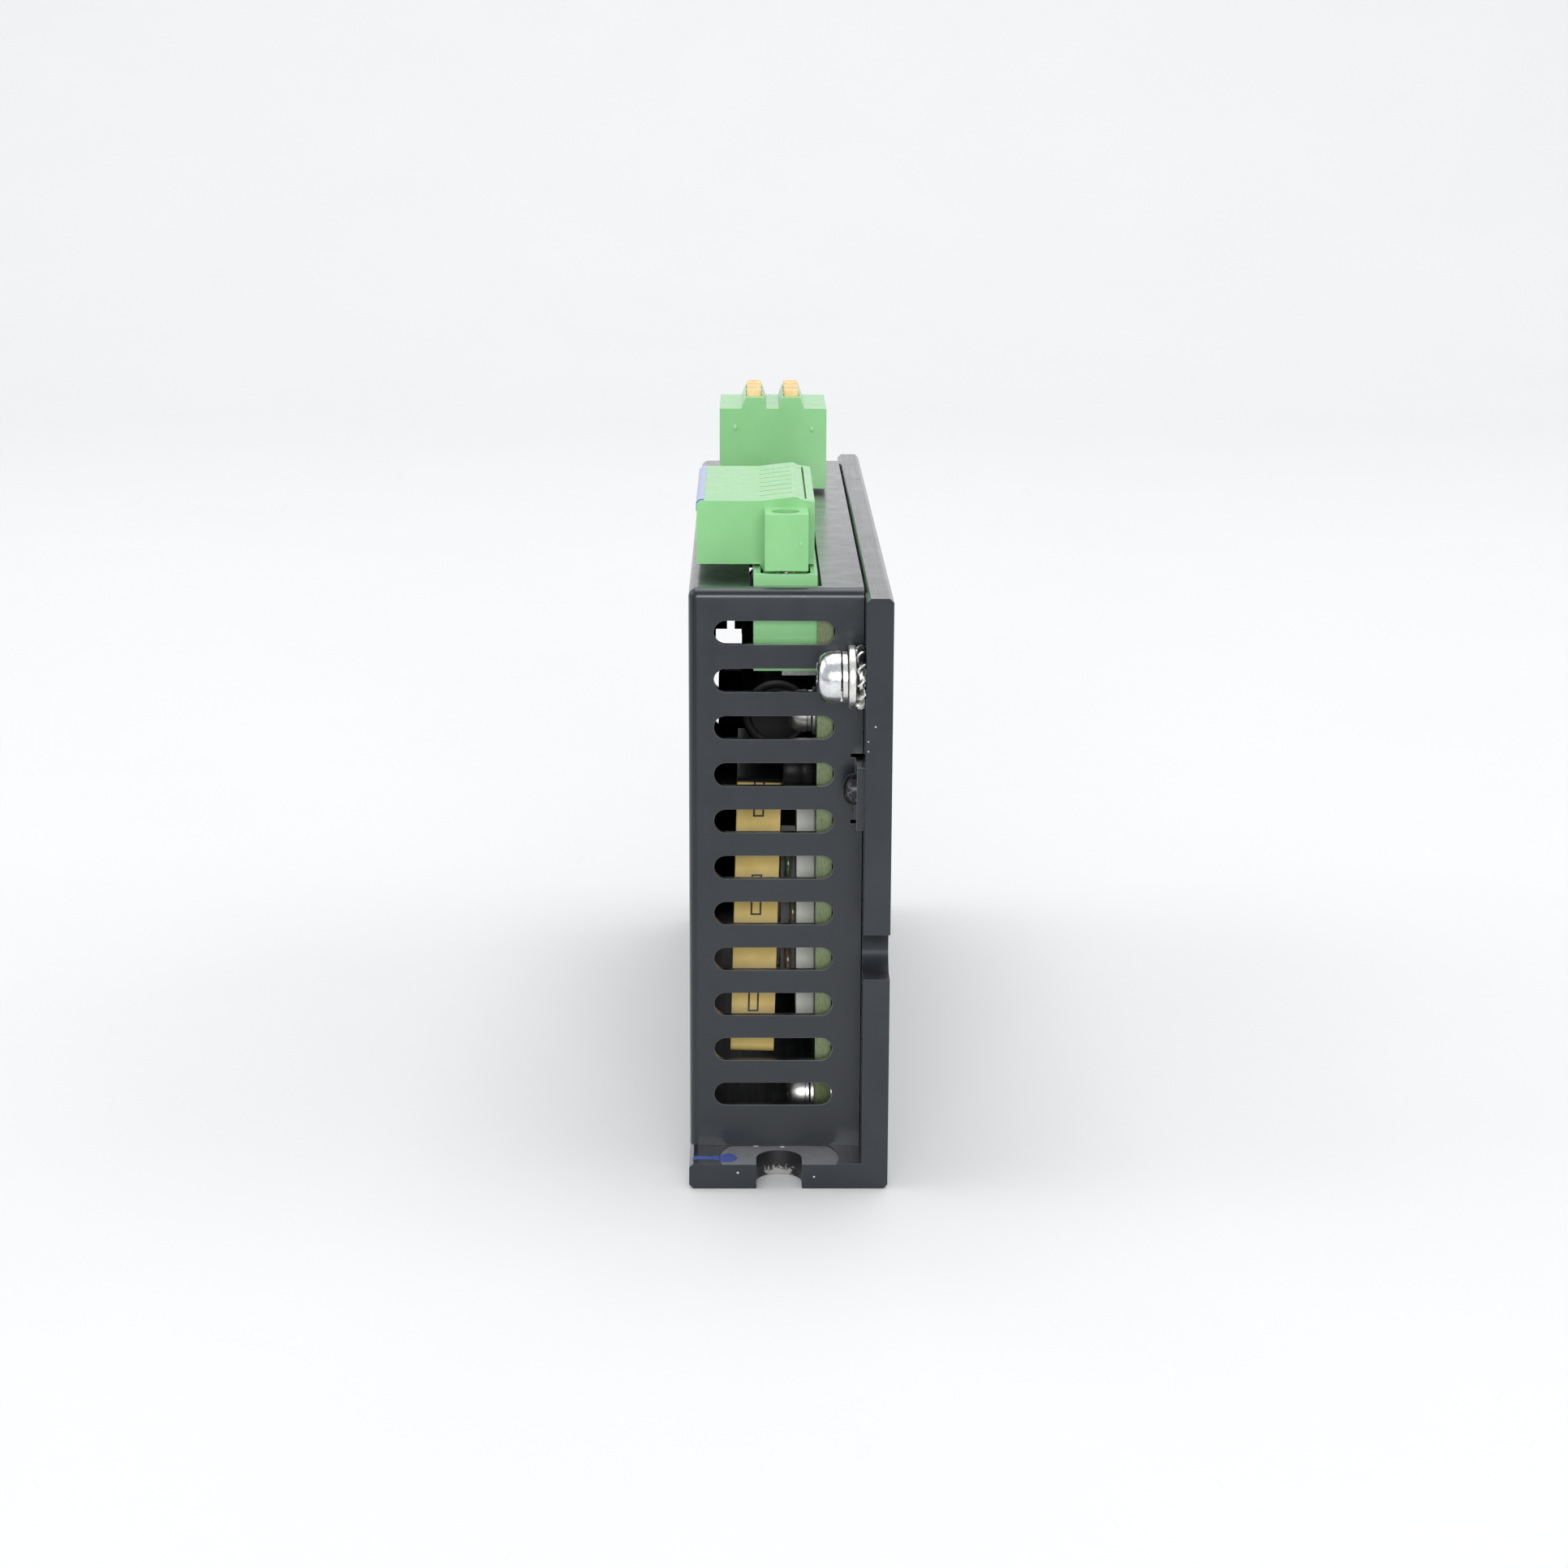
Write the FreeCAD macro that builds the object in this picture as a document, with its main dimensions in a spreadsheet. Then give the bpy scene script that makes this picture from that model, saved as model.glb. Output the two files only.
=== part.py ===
import FreeCAD, Part
import math
import os
import Sketcher

# A slim panel-mounted power supply. A black L-section aluminium extrusion carries the circuit
# board on its upright plate; a bent sheet cover with louvre slots closes the other four sides.
# Two green plug connectors stand out of the top. Frame: +Z up, +X from the cover's long face to
# the upright plate, +Y along the extrusion. The origin is the centre of the base's underside.

doc = FreeCAD.newDocument("power_supply")
sheet = doc.addObject("Spreadsheet::Sheet", "Sizes")


# --- Sizes that stay tied to the sheet ---------------------------------------------------------

class Size:
    """A length in mm with the sheet formula that it comes from."""

    def __init__(self, value, text):
        self.value = value
        self.text = text

    def __add__(self, other):
        other = as_size(other)
        return Size(self.value + other.value, f"({self.text} + {other.text})")

    def __sub__(self, other):
        other = as_size(other)
        return Size(self.value - other.value, f"({self.text} - {other.text})")

    def __mul__(self, factor):
        return Size(self.value * factor, f"({self.text} * {factor})")

    def __truediv__(self, divisor):
        return Size(self.value / divisor, f"({self.text} / {divisor})")

    def __neg__(self):
        return Size(-self.value, f"(0 - {self.text})")


def as_size(item):
    """The item itself when it is a Size, or a plain number as one."""
    if isinstance(item, Size):
        return item
    return Size(float(item), f"({float(item)})")


def dimension(alias, value):
    """Write one driving dimension on the next row of the sheet and hand it back."""
    dimension.row += 1
    sheet.set(f"A{dimension.row}", alias)
    sheet.set(f"B{dimension.row}", str(value))
    sheet.setAlias(f"B{dimension.row}", alias)
    return Size(float(value), f"Sizes.{alias}")


dimension.row = 0

# Extruded base
base_width = dimension("base_width", 25.1)
base_length = dimension("base_length", 129.3)
case_height = dimension("case_height", 75.8)
plate_thickness = dimension("plate_thickness", 3.3)
edge_chamfer = dimension("edge_chamfer", 0.5)
slot_width = dimension("slot_width", 5.74)
slot_depth = dimension("slot_depth", 5.24)
base_slot_x = dimension("base_slot_x", -1.17)
side_slot_z = dimension("side_slot_z", 30.5)
spot_radius = dimension("spot_radius", 7.6)
spot_depth = dimension("spot_depth", 0.12)

# Sheet cover
sheet_thickness = dimension("sheet_thickness", 1.0)
bend_radius = dimension("bend_radius", 1.2)
cover_gap = dimension("cover_gap", 0.1)
end_setback = dimension("end_setback", 6.65)
vent_length = dimension("vent_length", 15.0)
vent_width = dimension("vent_width", 3.0)
vent_pitch = dimension("vent_pitch", 6.0)
vent_top_z = dimension("vent_top_z", 70.3)
vent_middle_x = dimension("vent_middle_x", -1.9)
far_vent_shift = dimension("far_vent_shift", 1.25)
tab_width = dimension("tab_width", 8.0)
tab_middle_z = dimension("tab_middle_z", 50.5)
tab_overhang = dimension("tab_overhang", 5.6)
tab_screw_z = dimension("tab_screw_z", 51.2)
tab_screw_reach = dimension("tab_screw_reach", 2.6)
VENT_COUNT = 11

# Circuit board
board_face = dimension("board_face", 3.45)
board_thickness = dimension("board_thickness", 2.0)
board_half_length = dimension("board_half_length", 56.3)
board_bottom = dimension("board_bottom", 5.0)
board_top = dimension("board_top", 73.5)
board_screw_y = dimension("board_screw_y", 50.65)
board_screw_low = dimension("board_screw_low", 8.1)
board_screw_high = dimension("board_screw_high", 58.9)

# Front connector: eight ways at 3.81 mm with a screw flange at each end
front_pitch = dimension("front_pitch", 3.81)
front_row_start = dimension("front_row_start", -49.95)
front_row_length = dimension("front_row_length", 31.3)
front_flange = dimension("front_flange", 5.2)
front_header_bottom = dimension("front_header_bottom", 65.0)
front_header_top = dimension("front_header_top", 77.2)
front_header_left = dimension("front_header_left", -4.5)
front_wall = dimension("front_wall", 0.9)
front_body_left = dimension("front_body_left", -11.6)
front_body_right = dimension("front_body_right", 3.15)
front_body_top = dimension("front_body_top", 85.5)
front_flange_top = dimension("front_flange_top", 84.6)
FRONT_WAYS = 8

# Rear connector: three ways at 5.08 mm, each with two spring clamps
rear_pitch = dimension("rear_pitch", 5.08)
rear_start = dimension("rear_start", 21.85)
rear_length = dimension("rear_length", 17.8)
rear_header_bottom = dimension("rear_header_bottom", 64.6)
rear_header_top = dimension("rear_header_top", 76.2)
rear_header_left = dimension("rear_header_left", -5.15)
rear_wall = dimension("rear_wall", 1.0)
rear_body_left = dimension("rear_body_left", -9.35)
rear_body_width = dimension("rear_body_width", 15.7)
rear_body_top = dimension("rear_body_top", 88.3)
rear_ridge_height = dimension("rear_ridge_height", 1.6)
lever_stand_out = dimension("lever_stand_out", 0.9)
lever_width = dimension("lever_width", 2.2)
lever_length = dimension("lever_length", 3.4)
lever_left_x = dimension("lever_left_x", -4.3)
lever_right_x = dimension("lever_right_x", 1.2)
REAR_WAYS = 3

# Clearances between pieces that move past each other
slide_gap = dimension("slide_gap", 0.3)
shaft_gap = dimension("shaft_gap", 0.08)

# Ground stud, a pan-head screw of about 3.5 mm with three washers
ground_y = dimension("ground_y", -62.1)
ground_z = dimension("ground_z", 65.6)
ground_shank = dimension("ground_shank", 1.75)
ground_head = dimension("ground_head", 3.3)
ground_head_height = dimension("ground_head_height", 2.95)

# Transformer
coil_near = dimension("coil_near", -50.4)
coil_length = dimension("coil_length", 31.0)
coil_bottom = dimension("coil_bottom", 13.3)
coil_top = dimension("coil_top", 49.8)
coil_left = dimension("coil_left", -7.4)
coil_thickness = dimension("coil_thickness", 5.6)
tape_thickness = dimension("tape_thickness", 0.35)
COIL_LEAN = 1.43

# Places worked out from those
left = -(base_width / 2)
right = base_width / 2
side_face = right - plate_thickness
near_end = -(base_length / 2)
far_end = base_length / 2
cover_right = side_face - cover_gap
cover_near = near_end + end_setback
cover_far = far_end - end_setback
cover_inner_top = case_height - sheet_thickness
board_back = board_face + board_thickness
front_row_end = front_row_start + front_row_length
front_near = front_row_start - front_flange
front_far = front_row_end + front_flange
rear_end = rear_start + rear_length
doc.recompute()


# --- Ways of making shapes ---------------------------------------------------------------------

nodes = []
AXES = "xyz"
TURNS = {
    "x": FreeCAD.Rotation(FreeCAD.Vector(0, 1, 0), 90),
    "y": FreeCAD.Rotation(FreeCAD.Vector(1, 0, 0), -90),
    "z": FreeCAD.Rotation(),
}


def node(item, label):
    """Keep an object as one named sub-part of the finished assembly."""
    item.Label = label
    nodes.append(item)
    return item


def bind(item, prop, size):
    """Tie one property to its formula."""
    item.setExpression(prop, as_size(size).text)


def put(item, place):
    """Tie the placement's three coordinates to formulas."""
    for axis, size in zip(AXES, place):
        bind(item, f"Placement.Base.{axis}", size)


def block(name, x, y, z):
    """A box given by its low and high ends along each axis."""
    item = doc.addObject("Part::Box", name)
    for prop, (low, high) in zip(("Length", "Width", "Height"), (x, y, z)):
        bind(item, prop, as_size(high) - low)
    put(item, (x[0], y[0], z[0]))
    return item


def bar(name, axis, centre, span, radius):
    """A round bar along one axis; centre gives the other two coordinates in x, y, z order."""
    item = doc.addObject("Part::Cylinder", name)
    bind(item, "Radius", radius)
    bind(item, "Height", as_size(span[1]) - span[0])
    item.Placement = FreeCAD.Placement(FreeCAD.Vector(), TURNS[axis])
    place = list(centre)
    place.insert(AXES.index(axis), span[0])
    put(item, place)
    return item


def fuse(name, items):
    """One solid from several that touch."""
    item = doc.addObject("Part::MultiFuse", name)
    item.Shapes = items
    item.Refine = True
    return item


def cut(name, base, tools):
    """A solid less one or more tools."""
    tool = tools[0] if len(tools) == 1 else fuse(name + "_tools", tools)
    item = doc.addObject("Part::Cut", name)
    item.Base = base
    item.Tool = tool
    return item


def gather(label, items):
    """Separate solids of one kind, kept together as one sub-part."""
    item = doc.addObject("Part::Compound", label)
    item.Links = items
    return node(item, label)


def ring(name, axis, centre, span, outer, inner):
    """A washer or tube."""
    whole = bar(name + "_disc", axis, centre, span, outer)
    hole = bar(name + "_hole", axis, centre, span, inner)
    return cut(name, whole, [hole])


def soften(name, base, radius, keep):
    """Round the edges of a shape that pass a test on their middle point."""
    doc.recompute()
    item = doc.addObject("Part::Fillet", name)
    item.Base = base
    chosen = []
    for number, edge in enumerate(base.Shape.Edges, start=1):
        if keep(edge):
            chosen.append((number, radius, radius))
    item.Edges = chosen
    return item


def origin_feature(body, role):
    """One of a body's own origin planes or axes."""
    return next(item for item in body.Origin.OriginFeatures if item.Role == role)


def hold_point(sketch, geometry, point, place):
    """Fix a sketch point by its two distances from the sketch's origin."""
    for kind, axis, size in zip(("DistanceX", "DistanceY"), (-2, -1), place):
        size = as_size(size)
        if abs(size.value) < 1e-9:
            sketch.addConstraint(Sketcher.Constraint("PointOnObject", geometry, point, axis))
            continue
        rule = Sketcher.Constraint(kind, -1, 1, geometry, point, size.value)
        number = sketch.addConstraint(rule)
        sketch.setExpression(f"Constraints[{number}]", size.text)


def hold_radius(sketch, geometry, size):
    """Fix a circle's or an arc's radius."""
    number = sketch.addConstraint(Sketcher.Constraint("Radius", geometry, size.value))
    sketch.setExpression(f"Constraints[{number}]", size.text)


def vector(place):
    """A flat point as FreeCAD's vector."""
    return FreeCAD.Vector(as_size(place[0]).value, as_size(place[1]).value, 0)


def polygon(corners):
    """Draws a closed outline through the corners."""

    def draw(sketch):
        first = sketch.GeometryCount
        points = [vector(corner) for corner in corners]
        for start, end in zip(points, points[1:] + points[:1]):
            sketch.addGeometry(Part.LineSegment(start, end), False)
        for index, corner in enumerate(corners):
            following = first + (index + 1) % len(corners)
            sketch.addConstraint(Sketcher.Constraint("Coincident", first + index, 2, following, 1))
            hold_point(sketch, first + index, 1, corner)

    return draw


def rectangle(across, up):
    """Draws a rectangle from its low and high ends."""
    low_x, high_x = across
    low_y, high_y = up
    return polygon([(low_x, low_y), (high_x, low_y), (high_x, high_y), (low_x, high_y)])


def circle(centre, radius):
    """Draws a circle."""

    def draw(sketch):
        size = as_size(radius)
        shape = Part.Circle(vector(centre), FreeCAD.Vector(0, 0, 1), size.value)
        number = sketch.addGeometry(shape, False)
        hold_point(sketch, number, 3, centre)
        hold_radius(sketch, number, size)

    return draw


def obround(start, end, radius):
    """Draws a slot outline: two half circles about its end centres joined by tangent lines."""

    def draw(sketch):
        size = as_size(radius)
        first = sketch.GeometryCount
        ends = (vector(start), vector(end))
        heading = math.atan2(ends[1].y - ends[0].y, ends[1].x - ends[0].x)
        offset = FreeCAD.Vector(-math.sin(heading), math.cos(heading), 0) * size.value
        for centre, turn in zip(ends, (math.pi / 2, -math.pi / 2)):
            round_end = Part.Circle(centre, FreeCAD.Vector(0, 0, 1), size.value)
            arc = Part.ArcOfCircle(round_end, heading + turn, heading + turn + math.pi)
            sketch.addGeometry(arc, False)
        sketch.addGeometry(Part.LineSegment(ends[0] - offset, ends[1] - offset), False)
        sketch.addGeometry(Part.LineSegment(ends[1] + offset, ends[0] + offset), False)
        joints = ((0, 2, 2, 1), (2, 2, 1, 1), (1, 2, 3, 1), (3, 2, 0, 1))
        for one, one_end, other, other_end in joints:
            rule = Sketcher.Constraint("Tangent", first + one, one_end, first + other, other_end)
            sketch.addConstraint(rule)
        hold_point(sketch, first, 3, start)
        hold_point(sketch, first + 1, 3, end)
        hold_radius(sketch, first, size)

    return draw


def new_body(name):
    """An empty PartDesign body."""
    return doc.addObject("PartDesign::Body", name)


def new_sketch(body, name, plane, offset, outlines):
    """A sketch on one of the body's origin planes, moved along its normal."""
    sketch = body.newObject("Sketcher::SketchObject", name)
    sketch.AttachmentSupport = [(origin_feature(body, plane), "")]
    sketch.MapMode = "FlatFace"
    bind(sketch, "AttachmentOffset.Base.z", offset)
    for draw in outlines:
        draw(sketch)
    return sketch


def volume(item):
    """A shape's volume, or nothing while it has no shape."""
    return 0.0 if item.Shape.isNull() else item.Shape.Volume


def pad(body, name, plane, span, outlines):
    """Add material to a body between two places along the plane's axis."""
    low, high = as_size(span[0]), as_size(span[1])
    before = volume(body)
    offset = -high if plane == "XZ_Plane" else low
    sketch = new_sketch(body, name + "_sketch", plane, offset, outlines)
    feature = body.newObject("PartDesign::Pad", name)
    feature.Profile = sketch
    bind(feature, "Length", high - low)
    doc.recompute()
    assert volume(body) > before, f"{name} added nothing"
    return feature


def pocket(body, name, plane, span, outlines):
    """Take material from a body between two places along the plane's axis."""
    low, high = as_size(span[0]), as_size(span[1])
    before = volume(body)
    offset = -low if plane == "XZ_Plane" else high
    sketch = new_sketch(body, name + "_sketch", plane, offset, outlines)
    feature = body.newObject("PartDesign::Pocket", name)
    feature.Profile = sketch
    bind(feature, "Length", high - low)
    doc.recompute()
    assert volume(body) < before - 1e-6, f"{name} cut nothing"
    return feature


def repeat(body, name, feature, count, pitch, downwards=True):
    """Repeat a feature along Z at an even pitch."""
    pattern = body.newObject("PartDesign::LinearPattern", name)
    pattern.Originals = [feature]
    pattern.Direction = (origin_feature(body, "Z_Axis"), [""])
    pattern.Reversed = downwards
    pattern.Occurrences = count
    bind(pattern, "Length", pitch * (count - 1))
    body.Tip = pattern
    doc.recompute()
    return pattern


def dress(body, kind, name, size, keep):
    """Fillet or chamfer the body's edges that pass a test."""
    base = body.Tip
    chosen = [f"Edge{number}" for number, edge in enumerate(base.Shape.Edges, start=1) if keep(edge)]
    feature = body.newObject(f"PartDesign::{kind}", name)
    feature.Base = (base, chosen)
    bind(feature, "Radius" if kind == "Fillet" else "Size", size)
    doc.recompute()
    return feature


def near(value, target):
    """True when two lengths agree to within 0.01 mm."""
    return abs(value - as_size(target).value) < 0.01


def along(edge, axis):
    """True when a straight edge runs along an axis."""
    start, end = edge.Vertexes[0].Point, edge.Vertexes[-1].Point
    run = end - start
    return run.Length > 1e-6 and abs(getattr(run, axis)) > 0.999 * run.Length


def pan_screw(name, centre, seat, head_radius, head_height, shank_radius, reach):
    """A pan-head screw with a cross recess; it points along +X from its seat."""
    seat = as_size(seat)
    top = seat - head_height
    head = bar(name + "_head", "x", centre, (top, seat), head_radius)
    doming = 0.55 * as_size(head_height).value
    round_head = soften(name + "_dome", head, doming, lambda edge: near(edge.BoundBox.XMax, top))
    shank = bar(name + "_shank", "x", centre, (seat, seat + reach), shank_radius)
    whole = fuse(name + "_whole", [round_head, shank])
    run = (top - 1, top + head_height * 0.6)
    middle_y, middle_z = as_size(centre[0]), as_size(centre[1])
    arm = as_size(head_radius) * 0.5
    slot = as_size(head_radius) * 0.12
    flat = block(name + "_recess_flat", run, (middle_y - arm, middle_y + arm),
                 (middle_z - slot, middle_z + slot))
    tall = block(name + "_recess_tall", run, (middle_y - slot, middle_y + slot),
                 (middle_z - arm, middle_z + arm))
    return cut(name, whole, [flat, tall])


# --- Extruded base: bottom flange and upright plate, with open mounting slots at both ends ------

base = new_body("base_plate")
pad(base, "base_section", "XZ_Plane", (near_end, far_end), [polygon([
    (left, 0), (right, 0), (right, case_height),
    (side_face, case_height), (side_face, plate_thickness), (left, plate_thickness),
])])
dress(base, "Chamfer", "base_long_edges", edge_chamfer, lambda edge: along(edge, "y") and not (
    near(edge.CenterOfMass.x, side_face) and near(edge.CenterOfMass.z, plate_thickness)))
slot_radius = slot_width / 2
near_slot = near_end + slot_depth - slot_radius
far_slot = far_end - slot_depth + slot_radius
pocket(base, "flange_slots", "XY_Plane", (-1, plate_thickness + 1), [
    obround((base_slot_x, near_end - slot_width), (base_slot_x, near_slot), slot_radius),
    obround((base_slot_x, far_slot), (base_slot_x, far_end + slot_width), slot_radius),
])
pocket(base, "upright_slots", "YZ_Plane", (side_face - 1, right + 1), [
    obround((near_end - slot_width, side_slot_z), (near_slot, side_slot_z), slot_radius),
    obround((far_slot, side_slot_z), (far_end + slot_width, side_slot_z), slot_radius),
])
pocket(base, "flange_spot_faces", "XY_Plane", (plate_thickness - spot_depth, plate_thickness + 1), [
    circle((base_slot_x, near_slot), spot_radius),
    circle((base_slot_x, far_slot), spot_radius),
])
tab_screw_near = near_end + tab_screw_reach + 1.0
tab_screw_far = -tab_screw_near
tab_shank = as_size(1.2)
board_shank = as_size(1.5)
thread_gap = 0.02
board_screws = []
for board_y in (-board_screw_y, board_screw_y):
    for board_z in (board_screw_low, board_screw_high):
        board_screws.append((board_y, board_z))
pocket(base, "tapped_holes", "YZ_Plane", (side_face - 1, right + 1), [
    circle((ground_y, ground_z), ground_shank + shaft_gap),
    circle((tab_screw_near, tab_screw_z), tab_shank + thread_gap),
    circle((tab_screw_far, tab_screw_z), tab_shank + thread_gap),
] + [circle(place, board_shank + thread_gap) for place in board_screws])
node(base, "base_plate")


# --- Cover: one bent sheet, louvre slots in both ends, open towards the upright plate -----------

near_wall = (cover_near - 1, cover_near + sheet_thickness + 0.5)
far_wall = (cover_far - sheet_thickness - 0.5, cover_far + 1)
cover = new_body("cover")
pad(cover, "cover_block", "XY_Plane", (plate_thickness, case_height),
    [rectangle((left, cover_right), (cover_near, cover_far))])
dress(cover, "Fillet", "cover_bends", bend_radius, lambda edge: (
    (along(edge, "z") and near(edge.CenterOfMass.x, left))
    or (near(edge.CenterOfMass.z, case_height) and not near(edge.CenterOfMass.x, cover_right))))
pocket(cover, "cover_inside", "XY_Plane", (plate_thickness - 1, cover_inner_top), [rectangle(
    (left + sheet_thickness, cover_right + 1),
    (cover_near + sheet_thickness, cover_far - sheet_thickness))])
vent_reach = (vent_length - vent_width) / 2
near_vent = pocket(cover, "near_vent", "XZ_Plane", near_wall, [
    obround((vent_middle_x - vent_reach, vent_top_z), (vent_middle_x + vent_reach, vent_top_z),
            vent_width / 2)])
repeat(cover, "near_vents", near_vent, VENT_COUNT, vent_pitch)
far_vent_x = vent_middle_x - far_vent_shift
far_vent = pocket(cover, "far_vent", "XZ_Plane", far_wall, [
    obround((far_vent_x - vent_reach, vent_top_z), (far_vent_x + vent_reach, vent_top_z),
            vent_width / 2)])
repeat(cover, "far_vents", far_vent, VENT_COUNT, vent_pitch)
pocket(cover, "far_key_slot", "XZ_Plane", far_wall, [polygon([
    (-10.3, 46.0), (-6.2, 46.0), (-6.2, 48.6), (-7.3, 48.6), (-7.3, 50.2), (-8.5, 50.2),
    (-8.5, 48.6), (-10.3, 48.6),
])])
window_margin = as_size(0.5)
front_window_end = 0.9
rear_window_end = 0.4
pocket(cover, "connector_windows", "XY_Plane", (cover_inner_top - 0.5, case_height + 1), [
    rectangle((front_header_left - window_margin, board_face + window_margin),
              (front_near - front_window_end, front_far + front_window_end)),
    rectangle((rear_header_left - window_margin, board_face + window_margin),
              (rear_start - rear_window_end, rear_end + rear_window_end)),
])
tab_low = tab_middle_z - tab_width / 2
tab_high = tab_middle_z + tab_width / 2
tab_inner = side_face - sheet_thickness
pad(cover, "cover_tabs", "XY_Plane", (tab_low, tab_high), [
    rectangle((tab_inner, side_face), (cover_near - tab_overhang, cover_near + sheet_thickness)),
    rectangle((tab_inner, side_face), (cover_far - sheet_thickness, cover_far + tab_overhang)),
])
relief = as_size(0.5)
relief_outlines = [
    rectangle((tab_inner - 0.6, cover_right + 0.5), (tab_high, tab_high + relief)),
    rectangle((tab_inner - 0.6, cover_right + 0.5), (tab_low - relief, tab_low)),
]
pocket(cover, "near_reliefs", "XZ_Plane", near_wall, relief_outlines)
pocket(cover, "far_reliefs", "XZ_Plane", far_wall, relief_outlines)
pocket(cover, "tab_holes", "YZ_Plane", (tab_inner - 1, side_face + 0.5), [
    circle((tab_screw_near, tab_screw_z), tab_shank + 0.2),
    circle((tab_screw_far, tab_screw_z), tab_shank + 0.2),
])
node(cover, "cover")

tab_head_radius = 1.95
tab_head_height = 1.6
tab_screw_length = 3.8
gather("cover_screws", [
    pan_screw(f"cover_screw_{index}", (place, tab_screw_z), tab_inner, tab_head_radius,
              tab_head_height, tab_shank, tab_screw_length)
    for index, place in enumerate((tab_screw_near, tab_screw_far))
])


# --- Ground stud on the upright plate, in front of the near end of the cover --------------------

ground_centre = (ground_y, ground_z)
star_depth = 1.25
flat_depth = 0.9
lock_depth = 0.95
flat_seat = side_face - star_depth
lock_seat = flat_seat - flat_depth
head_seat = lock_seat - lock_depth
bore = ground_shank + shaft_gap
star_radius = 4.05
flat_radius = 3.9
lock_radius = 3.2
ground_thread_length = 3.2

TOOTH_COUNT = 12
TOOTH_TWIST = 38
tooth_sheet, tooth_span, tooth_reach = 0.4, 1.35, 1.5
tooth_root = 2.55
star_centre = FreeCAD.Vector((side_face - star_depth / 2).value, ground_y.value, ground_z.value)
star_teeth = []
for index in range(TOOTH_COUNT):
    tooth = doc.addObject("Part::Box", f"star_tooth_{index}")
    tooth.Length, tooth.Width, tooth.Height = tooth_sheet, tooth_span, tooth_reach
    out = FreeCAD.Rotation(FreeCAD.Vector(1, 0, 0), 360.0 / TOOTH_COUNT * index)
    twist = FreeCAD.Rotation(FreeCAD.Vector(0, 0, 1), TOOTH_TWIST)
    corner = twist.multVec(FreeCAD.Vector(-tooth_sheet / 2, -tooth_span / 2, 0))
    corner = corner + FreeCAD.Vector(0, 0, tooth_root)
    tooth.Placement = FreeCAD.Placement(star_centre + out.multVec(corner), out * twist)
    star_teeth.append(tooth)
star_ring = ring("star_ring", "x", ground_centre, (side_face - 0.85, side_face - 0.4), 2.85, bore)
star_raw = fuse("star_raw", [star_ring] + star_teeth)
star_room = ring("star_room", "x", ground_centre, (flat_seat, side_face), star_radius, bore)
star = doc.addObject("Part::Common", "star_washer_shape")
star.Base = star_raw
star.Tool = star_room
node(star, "ground_star_washer")
flat_washer = ring("ground_flat", "x", ground_centre, (lock_seat, flat_seat), flat_radius, bore)
node(flat_washer, "ground_flat_washer")
lock_ring = ring("ground_lock_ring", "x", ground_centre, (head_seat, lock_seat), lock_radius, bore)
lock_gap = block("ground_lock_gap", (head_seat - 1, lock_seat + 1), (ground_y - 0.35, ground_y + 0.35),
                 (ground_z - 5, ground_z))
node(cut("ground_lock", lock_ring, [lock_gap]), "ground_lock_washer")
ground_reach = star_depth + flat_depth + lock_depth + ground_thread_length
node(pan_screw("ground_screw_shape", ground_centre, head_seat, ground_head, ground_head_height,
               ground_shank, ground_reach), "ground_screw")


# --- Circuit board, its spacers and its screws --------------------------------------------------

notch = 3.6
notch_top = board_bottom + 7.4
board = new_body("main_board")
pad(board, "board_outline", "YZ_Plane", (board_face, board_back), [polygon([
    (-board_half_length + notch, board_bottom), (board_half_length - notch, board_bottom),
    (board_half_length - notch, notch_top), (board_half_length, notch_top),
    (board_half_length, board_top), (-board_half_length, board_top),
    (-board_half_length, notch_top), (-board_half_length + notch, notch_top),
])])
front_first = front_row_start + (front_row_length - front_pitch * (FRONT_WAYS - 1)) / 2
rear_first = rear_start + (rear_length - rear_pitch * (REAR_WAYS - 1)) / 2
front_ways = [front_first + front_pitch * index for index in range(FRONT_WAYS)]
rear_ways = [rear_first + rear_pitch * index for index in range(REAR_WAYS)]
pin_row = as_size(63.2)
pocket(board, "board_holes", "YZ_Plane", (board_face - 1, board_back + 1),
       [circle(place, board_shank + 0.1) for place in board_screws]
       + [circle((way, pin_row), 0.7) for way in front_ways + rear_ways])
node(board, "main_board")

gather("board_spacers", [
    ring(f"board_spacer_{index}", "x", place, (board_back, side_face), 2.6, board_shank + thread_gap)
    for index, place in enumerate(board_screws)
])
board_flat = 0.5
board_lock = 0.7
board_flat_radius = 3.0
board_lock_radius = 2.6
board_head_radius = 2.75
board_head_height = 2.3
board_screw_length = 8.5
washer_bore = board_shank + 0.1
gather("board_flat_washers", [
    ring(f"board_flat_{index}", "x", place, (board_face - board_flat, board_face), board_flat_radius,
         washer_bore)
    for index, place in enumerate(board_screws)
])
board_lock_washers = []
for index, place in enumerate(board_screws):
    seat = board_face - board_flat
    whole = ring(f"board_lock_{index}", "x", place, (seat - board_lock, seat), board_lock_radius,
                 washer_bore)
    gap = block(f"board_lock_gap_{index}", (seat - 2, seat + 1), (place[0] - 0.3, place[0] + 0.3),
                (place[1], place[1] + 4))
    board_lock_washers.append(cut(f"board_lock_split_{index}", whole, [gap]))
gather("board_lock_washers", board_lock_washers)
gather("board_screws", [
    pan_screw(f"board_screw_{index}", place, board_face - board_flat - board_lock,
              board_head_radius, board_head_height, board_shank, board_screw_length)
    for index, place in enumerate(board_screws)
])


# --- Front connector: socket on the board -------------------------------------------------------

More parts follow.
